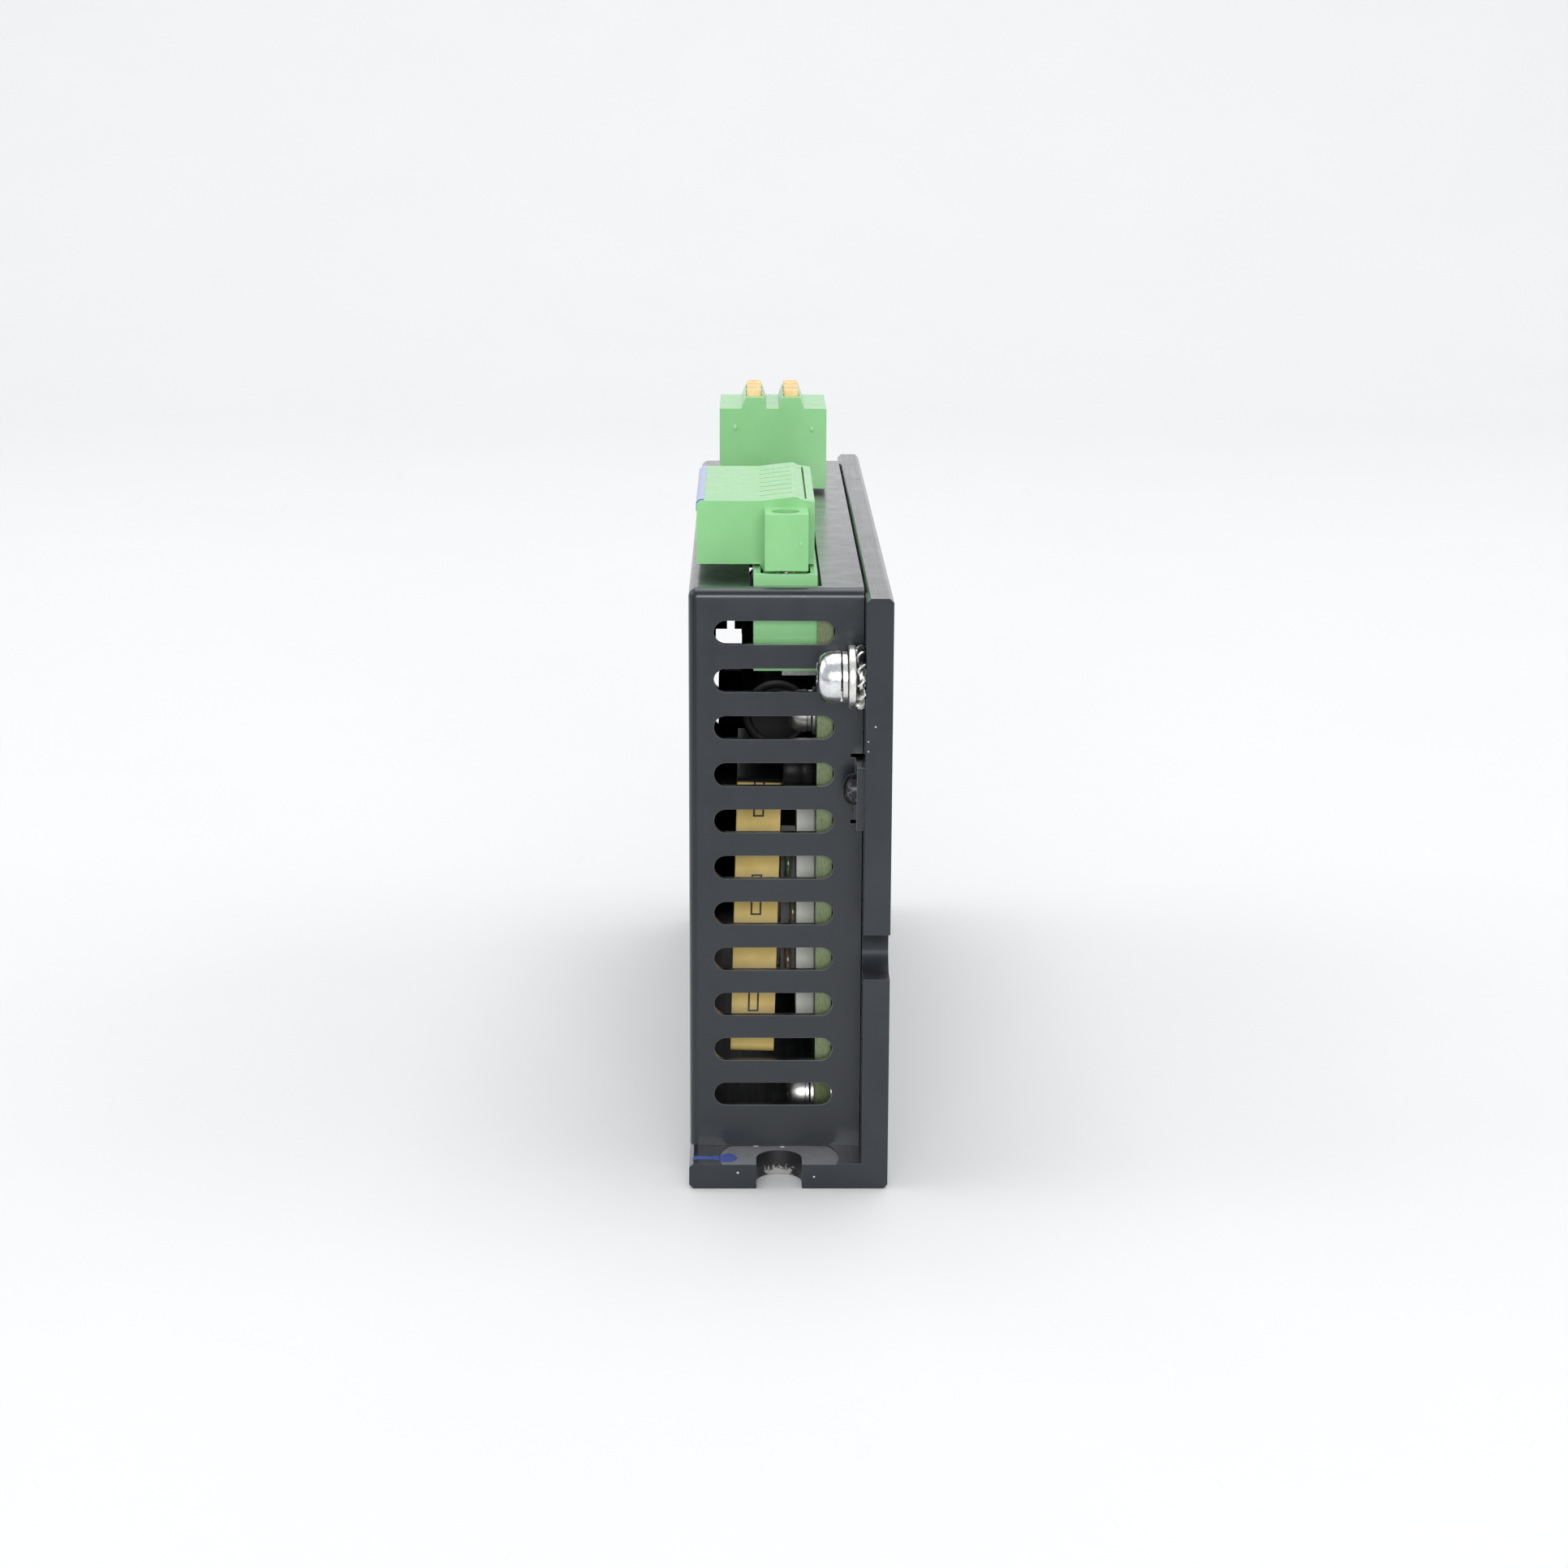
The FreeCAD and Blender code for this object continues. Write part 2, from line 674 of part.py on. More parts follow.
def socket(name, x, y, z, wall, floor, pins, pin_half):
    """An open-topped socket housing whose floor holds a row of pins."""
    outer = block(name + "_outer", x, y, z)
    inner = block(name + "_inner", (x[0] + wall, x[1] - wall), (y[0] + wall, y[1] - wall),
                  (z[0] + floor, z[1] + 1))
    middle = (x[0] + x[1]) / 2
    tools = [inner]
    for index, way in enumerate(pins):
        tools.append(block(f"{name}_pin_hole_{index}", (middle - pin_half, middle + pin_half),
                           (way - pin_half, way + pin_half), (z[0] - 1, z[0] + floor + 1)))
    return cut(name, outer, tools)


def pin(name, x, way, top, bottom, half, tail):
    """A square pin that stands up in the socket, then turns and passes through the board."""
    upright = block(name + "_upright", (x - half, x + half), (way - half, way + half),
                    (pin_row - half, top))
    foot = block(name + "_foot", (x - half, tail), (way - half, way + half),
                 (pin_row - half, pin_row + half))
    return fuse(name, [upright, foot])


header_floor = as_size(3.2)
front_header_x = (front_header_left, board_face)
front_header_y = (front_near - 0.4, front_far + 0.4)
front_pin_x = (front_header_left + board_face) / 2
pin_half = as_size(0.4)
front_socket = socket("front_socket", front_header_x, front_header_y,
                      (front_header_bottom, front_header_top), front_wall, header_floor,
                      front_ways, pin_half)
flange_middles = (front_near + front_flange / 2, front_far - front_flange / 2)
boss_top = front_header_top - 1.6
boss_half = as_size(2.3)
bosses = []
nut_pockets = []
for index, middle in enumerate(flange_middles):
    bosses.append(block(f"front_boss_{index}", (front_header_left + front_wall, board_face - front_wall),
                        (middle - boss_half, middle + boss_half),
                        (front_header_bottom + header_floor, boss_top)))
    nut_pockets.append(block(f"front_nut_pocket_{index}", (front_pin_x - 2.1, front_pin_x + 2.1),
                             (middle - 2.0, middle + 2.0), (boss_top - 2.2, boss_top + 1)))
    nut_pockets.append(bar(f"front_screw_way_{index}", "z", (front_pin_x, middle),
                           (front_header_bottom + 1.5, boss_top), 1.5))
node(cut("front_header_shape", fuse("front_header_solid", [front_socket] + bosses), nut_pockets),
     "front_header")
gather("front_header_pins", [
    pin(f"front_pin_{index}", front_pin_x, way, front_header_bottom + 9.0, pin_row, pin_half,
        board_back + 1.2)
    for index, way in enumerate(front_ways)
])
flange_shank = as_size(1.25)
gather("front_header_nuts", [
    cut(f"front_nut_{index}",
        block(f"front_nut_block_{index}", (front_pin_x - 2.05, front_pin_x + 2.05),
              (middle - 1.95, middle + 1.95), (boss_top - 2.2, boss_top - 0.2)),
        [bar(f"front_nut_bore_{index}", "z", (front_pin_x, middle),
             (boss_top - 3, boss_top + 1), flange_shank + shaft_gap)])
    for index, middle in enumerate(flange_middles)
])


# --- Front connector: plug with eight front-facing screw clamps ---------------------------------

front_plug_bottom = front_header_top + slide_gap
skirt_left = front_header_left + front_wall + slide_gap
skirt_right = board_face - front_wall - slide_gap
skirt_bottom = front_header_bottom + header_floor + 0.6
plug = new_body("front_plug_shell")
pad(plug, "plug_row", "XZ_Plane", (front_row_start, front_row_end), [polygon([
    (front_body_left, front_plug_bottom), (front_body_left + 7.9, front_plug_bottom),
    (skirt_left, front_plug_bottom - 0.9), (skirt_left, skirt_bottom), (skirt_right, skirt_bottom),
    (skirt_right, front_plug_bottom), (front_body_right, front_plug_bottom),
    (front_body_right, front_body_top - 0.1), (front_body_right - 1.7, front_body_top + 0.2),
    (front_body_right - 2.2, front_body_top + 0.5), (front_body_right - 2.7, front_body_top + 0.5),
    (front_body_left + 7.9, front_body_top), (front_body_left + 0.4, front_body_top),
    (front_body_left, front_body_top - 0.4),
])])
flange_x = (front_body_left + 8.5, front_body_right - 0.85)
flange_outline = rectangle(flange_x, (front_plug_bottom, front_flange_top))
pad(plug, "near_flange", "XZ_Plane", (front_near, front_row_start), [flange_outline])
pad(plug, "far_flange", "XZ_Plane", (front_row_end, front_far), [flange_outline])
clamp_z = (front_plug_bottom + 1.0, front_plug_bottom + 3.9)
screw_z = front_plug_bottom + 5.9
clamp_screw_radius = 1.15
cage_x = (front_body_left + 4.6, skirt_right - 0.9)
cell_half = as_size(1.3)
wire_ways = []
for way in front_ways:
    wire_ways.append(rectangle((way - cell_half, way + cell_half), clamp_z))
pocket(plug, "wire_ways", "YZ_Plane", (front_body_left - 1, cage_x[1]), wire_ways)
pocket(plug, "screw_ways", "YZ_Plane", (front_body_left - 1, front_body_left + 8.6),
       [circle((way, screw_z), clamp_screw_radius + 0.1) for way in front_ways])
contact_outlines = []
for way in front_ways:
    contact_outlines.append(rectangle((front_pin_x - 0.9, front_pin_x + 0.9), (way - 0.9, way + 0.9)))
pocket(plug, "contact_ways", "XY_Plane", (skirt_bottom - 1, clamp_z[0]), contact_outlines)
pocket(plug, "flange_ways", "XY_Plane", (front_plug_bottom - 1, front_flange_top + 1),
       [circle((front_pin_x, middle), flange_shank + shaft_gap) for middle in flange_middles])
flange_screw_head = 1.65
pocket(plug, "flange_head_ways", "XY_Plane", (front_flange_top - 3.2, front_flange_top + 1),
       [circle((front_pin_x, middle), flange_screw_head + 0.1) for middle in flange_middles])
rib_grooves = []
for index in range(1, FRONT_WAYS):
    line = front_first + front_pitch * (index - 0.5)
    rib_grooves.append(rectangle((front_body_left + 7.9, front_body_right - 2.75),
                                 (line - 0.2, line + 0.2)))
pocket(plug, "rib_grooves", "XY_Plane", (front_body_top - 0.2, front_body_top + 2), rib_grooves)
pocket(plug, "latch_groove", "XY_Plane", (front_body_top - 0.9, front_body_top + 2), [
    rectangle((front_body_right - 1.25, front_body_right - 1.0),
              (front_row_start + 1.2, front_row_end - 1.2))])
node(plug, "front_plug_body")

clamps = []
clamp_screws = []
for index, way in enumerate(front_ways):
    cage = block(f"front_cage_{index}", (cage_x[0], cage_x[1] - 0.1),
                 (way - cell_half + 0.1, way + cell_half - 0.1),
                 (clamp_z[0] + 0.1, clamp_z[1] - 0.1))
    mouth = block(f"front_mouth_{index}", (cage_x[0] - 1, cage_x[1] - 1.6), (way - 0.9, way + 0.9),
                  (clamp_z[0] + 0.5, clamp_z[1] - 0.5))
    clamps.append(cut(f"front_clamp_{index}", cage, [mouth]))
    shaft = bar(f"front_clamp_shaft_{index}", "x", (way, screw_z),
                (front_body_left + 1.6, front_body_left + 8.4), clamp_screw_radius)
    slot = block(f"front_clamp_slot_{index}", (front_body_left + 1, front_body_left + 2.3),
                 (way - 1.3, way + 1.3), (screw_z - 0.2, screw_z + 0.2))
    clamp_screws.append(cut(f"front_clamp_screw_{index}", shaft, [slot]))
gather("front_plug_clamps", clamps)
gather("front_plug_clamp_screws", clamp_screws)
for index, (label, middle) in enumerate(zip(("near", "far"), flange_middles)):
    shaft = bar(f"flange_shaft_{index}", "z", (front_pin_x, middle),
                (boss_top - 3.6, front_flange_top - 2.9), flange_shank)
    head = bar(f"flange_head_{index}", "z", (front_pin_x, middle),
               (front_flange_top - 2.9, front_flange_top - 1.0), flange_screw_head)
    slot = block(f"flange_slot_{index}", (front_pin_x - 2, front_pin_x + 2),
                 (middle - 0.25, middle + 0.25), (front_flange_top - 1.7, front_flange_top))
    node(cut(f"flange_screw_{index}", fuse(f"flange_screw_solid_{index}", [shaft, head]), [slot]),
         f"front_flange_screw_{label}")
strip = block("marker_strip_shape", (front_body_left - 0.35, front_body_left),
              (front_row_start + 0.5, front_row_end - 0.5),
              (front_body_top - 1.25, front_body_top - 0.45))
node(strip, "front_marker_strip")


# --- Rear connector: socket on the board and plug with six sprung release levers ----------------

rear_header_x = (rear_header_left, board_face)
rear_header_y = (rear_start + 0.1, rear_end - 0.1)
rear_pin_x = (rear_header_left + board_face) / 2
node(socket("rear_socket", rear_header_x, rear_header_y, (rear_header_bottom, rear_header_top),
            rear_wall, header_floor, rear_ways, as_size(0.5)), "rear_header")
gather("rear_header_pins", [
    pin(f"rear_pin_{index}", rear_pin_x, way, rear_header_bottom + 9.4, pin_row, as_size(0.48),
        board_back + 1.2)
    for index, way in enumerate(rear_ways)
])

rear_plug_bottom = rear_header_top + slide_gap
rear_body_right = rear_body_left + rear_body_width
rear_skirt_x = (rear_header_left + rear_wall + slide_gap, board_face - rear_wall - slide_gap)
rear_skirt_y = (rear_header_y[0] + rear_wall + slide_gap, rear_header_y[1] - rear_wall - slide_gap)
ridge_top = rear_body_top + rear_ridge_height
ridge_foot = as_size(1.85)
ridge_crest = as_size(1.25)
rear = new_body("rear_plug_shell")
ridges = []
for middle in (lever_right_x, lever_left_x):
    ridges += [(middle + ridge_foot, rear_body_top), (middle + ridge_crest, ridge_top),
               (middle - ridge_crest, ridge_top), (middle - ridge_foot, rear_body_top)]
pad(rear, "rear_block", "XZ_Plane", (rear_start, rear_end), [polygon([
    (rear_body_left, rear_plug_bottom), (rear_body_right, rear_plug_bottom),
    (rear_body_right, rear_body_top)] + ridges + [(rear_body_left, rear_body_top)])])
pad(rear, "rear_skirt", "XY_Plane", (rear_header_bottom + header_floor + 0.6, rear_plug_bottom),
    [rectangle(rear_skirt_x, rear_skirt_y)])
lever_half_x = lever_width / 2
lever_half_y = lever_length / 2
lever_foot = rear_body_top - 4.5
lever_ways = []
for middle in (lever_left_x, lever_right_x):
    for way in rear_ways:
        lever_ways.append((middle, way))
shaft_outlines = []
for middle, way in lever_ways:
    shaft_outlines.append(rectangle(
        (middle - lever_half_x - shaft_gap, middle + lever_half_x + shaft_gap),
        (way - lever_half_y - shaft_gap, way + lever_half_y + shaft_gap)))
pocket(rear, "lever_shafts", "XY_Plane", (lever_foot - 3.0, ridge_top + 1), shaft_outlines)
wire_half = as_size(1.35)
wire_z = (rear_plug_bottom + 3.0, rear_plug_bottom + 6.2)
wire_outlines = [rectangle((way - wire_half, way + wire_half), wire_z) for way in rear_ways]
pocket(rear, "left_wire_ways", "YZ_Plane", (rear_body_left - 1, rear_body_left + 3.2), wire_outlines)
pocket(rear, "right_wire_ways", "YZ_Plane", (rear_body_right - 3.2, rear_body_right + 1), wire_outlines)
rear_contact_outlines = []
for way in rear_ways:
    rear_contact_outlines.append(rectangle((rear_pin_x - 1.2, rear_pin_x + 1.2),
                                           (way - 1.2, way + 1.2)))
pocket(rear, "rear_contact_ways", "XY_Plane",
       (rear_header_bottom + header_floor - 1, rear_plug_bottom + 2.5), rear_contact_outlines)
node(rear, "rear_plug_body")

contacts = []
springs = []
for index, way in enumerate(rear_ways):
    sleeve = block(f"rear_sleeve_{index}", (rear_pin_x - 1.1, rear_pin_x + 1.1), (way - 1.1, way + 1.1),
                   (rear_header_bottom + header_floor + 1.2, rear_plug_bottom + 2.4))
    mouth = block(f"rear_sleeve_mouth_{index}", (rear_pin_x - 0.85, rear_pin_x + 0.85),
                  (way - 0.85, way + 0.85), (rear_header_bottom, rear_plug_bottom + 1.9))
    contacts.append(cut(f"rear_contact_{index}", sleeve, [mouth]))
    for side, reach in enumerate(((rear_body_left + 0.4, rear_body_left + 3.1),
                                  (rear_body_right - 3.1, rear_body_right - 0.4))):
        springs.append(block(f"rear_spring_{index}_{side}", reach, (way - 1.1, way + 1.1),
                             (wire_z[1] - 0.3, wire_z[1])))
gather("rear_plug_contacts", contacts)
gather("rear_plug_springs", springs)
for index, (middle, way) in enumerate(lever_ways, start=1):
    stem = block(f"lever_stem_{index}", (middle - lever_half_x, middle + lever_half_x),
                 (way - lever_half_y, way + lever_half_y), (lever_foot, ridge_top + lever_stand_out))
    lever_top = (ridge_top + lever_stand_out).value

    def is_top(edge, height=lever_top):
        return near(edge.CenterOfMass.z, height)

    node(soften(f"lever_{index}", stem, 0.3, is_top), f"release_lever_{index}")


# --- Transformer: white bobbin on the board, ferrite core, taped coil ---------------------------

coil_y = (coil_near, coil_near + coil_length)
coil_x = (coil_left, coil_left + coil_thickness)
coil_z = (coil_bottom, coil_top)
coil_middle_y = coil_near + coil_length / 2
coil_middle_z = (coil_bottom + coil_top) / 2
lean = FreeCAD.Rotation(FreeCAD.Vector(0, 1, 0), COIL_LEAN)
lean_cosine = math.cos(math.radians(COIL_LEAN))
lean_sine = math.sin(math.radians(COIL_LEAN))


def leaning_block(name, x, y, z):
    """A box that leans with the coil, turned about the coil's bottom left edge."""
    item = block(name, x, y, z)
    item.Placement = FreeCAD.Placement(FreeCAD.Vector(), lean)
    over = as_size(x[0]) - coil_left
    up = as_size(z[0]) - coil_bottom
    put(item, (coil_left + over * lean_cosine + up * lean_sine, y[0],
               coil_bottom - over * lean_sine + up * lean_cosine))
    return item


def is_tape_corner(edge):
    """The four corners that the tape turns round."""
    return along(edge, "x")


tape_outer = leaning_block("tape_outer", coil_x, coil_y, coil_z)
tape_round = soften("tape_round", tape_outer, 1.2, is_tape_corner)
core_y = (coil_y[0] + tape_thickness, coil_y[1] - tape_thickness)
core_z = (coil_z[0] + tape_thickness, coil_z[1] - tape_thickness)
tape_inner = leaning_block("tape_inner", (coil_x[0] - 1, coil_x[1] + 1), core_y, core_z)
node(cut("tape_shape", tape_round, [tape_inner]), "transformer_tape")
core_x = (coil_x[0] + 0.15, coil_x[1] - 0.15)
half_gap = 0.05
gather("transformer_core", [
    leaning_block("core_half_near", core_x, (core_y[0], coil_middle_y - half_gap), core_z),
    leaning_block("core_half_far", core_x, (coil_middle_y + half_gap, core_y[1]), core_z),
])
bobbin_foot_x = (1.05, board_face)
hub_y = (coil_middle_y - 7.0, coil_middle_y + 7.0)
hub_z = (coil_middle_z - 8.0, coil_middle_z + 8.0)
foot = block("bobbin_foot", bobbin_foot_x, (coil_near + 0.4, coil_near + coil_length - 0.4), (17.8, 47.2))
hub = block("bobbin_hub", (coil_x[1] - 1.0, bobbin_foot_x[0]), hub_y, hub_z)
hub_room = leaning_block("bobbin_hub_room", (coil_x[0] - 1, coil_x[1]), coil_y, coil_z)
node(fuse("bobbin_shape", [foot, cut("bobbin_hub_fit", hub, [hub_room])]), "transformer_bobbin")
winding_y = (coil_y[0] + 3.0, coil_y[1] - 3.0)
winding_outer = block("winding_outer", (-0.9, bobbin_foot_x[0] - 0.1), winding_y, (21.0, 43.0))
winding_inner = block("winding_inner", (-2.0, 2.0), hub_y, hub_z)
node(cut("winding_shape", winding_outer, [winding_inner]), "transformer_winding")

# Lead-out wires: half rings that leave the winding's near face and turn back to it
lead_radius = as_size(0.4)
lead_bend = as_size(2.2)
leads = []
for index, (place_x, place_z) in enumerate(((-0.3, 25.0), (0.3, 31.5), (-0.3, 38.0))):
    lead = doc.addObject("Part::Torus", f"lead_{index}")
    bind(lead, "Radius1", lead_bend)
    bind(lead, "Radius2", lead_radius)
    lead.Angle3 = 180
    lead.Placement = FreeCAD.Placement(FreeCAD.Vector(), FreeCAD.Rotation(
        FreeCAD.Vector(0, 0, 1), FreeCAD.Vector(0, -1, 0), FreeCAD.Vector(1, 0, 0), "ZXY"))
    put(lead, (place_x, winding_y[0], place_z))
    leads.append(lead)
gather("transformer_leads", leads)


# --- Other parts on the board -------------------------------------------------------------------

def can(name, axis, centre, span, radius, free_end):
    """A capacitor can with its free end rounded over."""
    whole = bar(name + "_can", axis, centre, span, radius)
    end = as_size(span[free_end])
    side = "Min" if free_end == 0 else "Max"
    far_side = "Max" if free_end == 0 else "Min"

    def is_free_rim(edge):
        box = edge.BoundBox
        return (near(getattr(box, axis.upper() + side), end)
                and near(getattr(box, axis.upper() + far_side), end))

    return soften(name, whole, 0.6, is_free_rim)


input_can_radius = as_size(4.6)
input_can_x = board_face - input_can_radius - 0.3
input_can_z = 57.2
gather("input_capacitors", [
    can(f"input_capacitor_{index}", "y", (input_can_x, input_can_z), (start, start + 29.5),
        input_can_radius, 0)
    for index, start in enumerate((-45.0, -15.0, 15.0))
])
bias_radius = as_size(3.15)
bias_end_x = -0.8
gather("bias_capacitor", [
    can("bias_capacitor_can", "x", (-49.5, 51.0), (bias_end_x, board_face), bias_radius, 0)])
output_can_radius = as_size(5.0)
output_can_x = (board_face - 14.2, board_face)
gather("output_capacitors", [
    can(f"output_capacitor_{index}", "x", place, output_can_x, output_can_radius, 0)
    for index, place in enumerate(((8.2, 47.1), (8.2, 37.05), (8.2, 27.0), (-2.1, 37.05)))
])

choke_centre = (23.0, 38.0)
choke_x = (board_face - 6.4, board_face - 1.0)
choke_outer_radius = as_size(8.0)
choke_inner_radius = as_size(4.2)
node(ring("choke_ring", "x", choke_centre, choke_x, choke_outer_radius, choke_inner_radius), "choke_core")
choke_coat = as_size(0.9)
choke_outer = ring("choke_wire", "x", choke_centre, (choke_x[0] - choke_coat, board_face - 0.1),
                   choke_outer_radius + choke_coat, choke_inner_radius - choke_coat)
choke_room = ring("choke_room", "x", choke_centre, choke_x, choke_outer_radius, choke_inner_radius)
node(cut("choke_wire_shape", choke_outer, [choke_room]), "choke_winding")

node(block("bridge_shape", (board_face - 5.2, board_face), (30.0, 46.0), (14.0, 26.0)),
     "bridge_rectifier")
fuse_centre = (board_face - 4.2, 9.5)
fuse_y = (8.0, 28.0)
fuse_radius = 2.6
node(bar("fuse_shape", "y", fuse_centre, fuse_y, fuse_radius), "fuse")
clips = []
for index, start in enumerate((fuse_y[0] + 0.4, fuse_y[1] - 4.4)):
    clip = block(f"clip_block_{index}", (board_face - 6.2, board_face), (start, start + 4.0), (6.4, 12.6))
    room = bar(f"clip_room_{index}", "y", fuse_centre, (start - 1, start + 5), fuse_radius)
    mouth = block(f"clip_mouth_{index}", (board_face - 8, fuse_centre[0]), (start - 1, start + 5),
                  (7.6, 11.4))
    clips.append(cut(f"fuse_clip_{index}", clip, [room, mouth]))
gather("fuse_clips", clips)
gather("control_chips", [
    block(f"chip_{index}", (board_face - 1.75, board_face), (place_y, place_y + 10.0), (14.5, 18.5))
    for index, place_y in enumerate((-12.0, 1.5, 15.0))
])

transistor_face = side_face - 0.4
gather("power_transistors", [
    block(f"transistor_{index}", (board_back, transistor_face), (place_y, place_y + 10.0), (14.0, 24.0))
    for index, place_y in enumerate((-37.0, -17.0, 7.0, 27.0))
])
node(block("pad_shape", (transistor_face, side_face), (-40.0, 40.0), (12.0, 26.0)), "thermal_pad")


# --- Check every object, then write one file for each sub-part ----------------------------------

doc.recompute()
for item in doc.Objects:
    assert "Invalid" not in item.State and "Error" not in item.State, f"{item.Label} failed"
os.makedirs("parts", exist_ok=True)
for item in nodes:
    assert not item.Shape.isNull() and item.Shape.isValid(), f"{item.Label} has no sound shape"
    item.Shape.exportStep(f"parts/{item.Label}.step")
print(len(nodes), "sub-parts written")
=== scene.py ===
import math

import bmesh
import bpy
import numpy as np
from mathutils import Matrix, Vector


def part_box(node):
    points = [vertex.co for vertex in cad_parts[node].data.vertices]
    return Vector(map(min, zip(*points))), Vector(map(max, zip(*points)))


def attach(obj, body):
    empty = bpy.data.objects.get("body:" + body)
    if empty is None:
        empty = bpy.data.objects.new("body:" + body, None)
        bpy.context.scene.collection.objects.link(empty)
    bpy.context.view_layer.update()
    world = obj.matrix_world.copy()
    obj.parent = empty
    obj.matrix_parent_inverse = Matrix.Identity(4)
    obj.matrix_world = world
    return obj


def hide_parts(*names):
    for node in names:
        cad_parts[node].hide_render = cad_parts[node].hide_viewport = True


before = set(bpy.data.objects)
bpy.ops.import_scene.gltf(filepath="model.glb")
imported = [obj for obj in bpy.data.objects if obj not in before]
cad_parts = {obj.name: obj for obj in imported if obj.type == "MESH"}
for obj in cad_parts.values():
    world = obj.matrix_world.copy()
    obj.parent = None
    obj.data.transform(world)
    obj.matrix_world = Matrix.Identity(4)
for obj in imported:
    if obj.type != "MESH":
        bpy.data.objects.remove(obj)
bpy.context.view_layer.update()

scene = bpy.context.scene
MM = 0.001


# --- Viewpoint ----------------------------------------------------------------------------------
# The unit stands on its base flange with its narrow end towards the viewer, who looks along it
# from a little above the connectors. A long lens keeps the sides nearly parallel.

across = Vector((0.99993057, -0.0112028, 0.00365504))
upward = Vector((-0.00088591, 0.23782658, 0.97130723))
ahead = Vector((0.01175063, 0.97124303, -0.23780014))
lens = bpy.data.cameras.new("lens")
lens.sensor_width = 36.0
lens.lens = 71.74
lens.clip_start = 0.01
lens.clip_end = 20.0
viewpoint = bpy.data.objects.new("viewpoint", lens)
scene.collection.objects.link(viewpoint)
facing = Matrix((across, upward, -ahead)).transposed().to_4x4()
viewpoint.matrix_world = Matrix.Translation(Vector((-5.241, -436.903, 143.874)) * MM) @ facing
scene.camera = viewpoint
scene.view_settings.view_transform = "Standard"
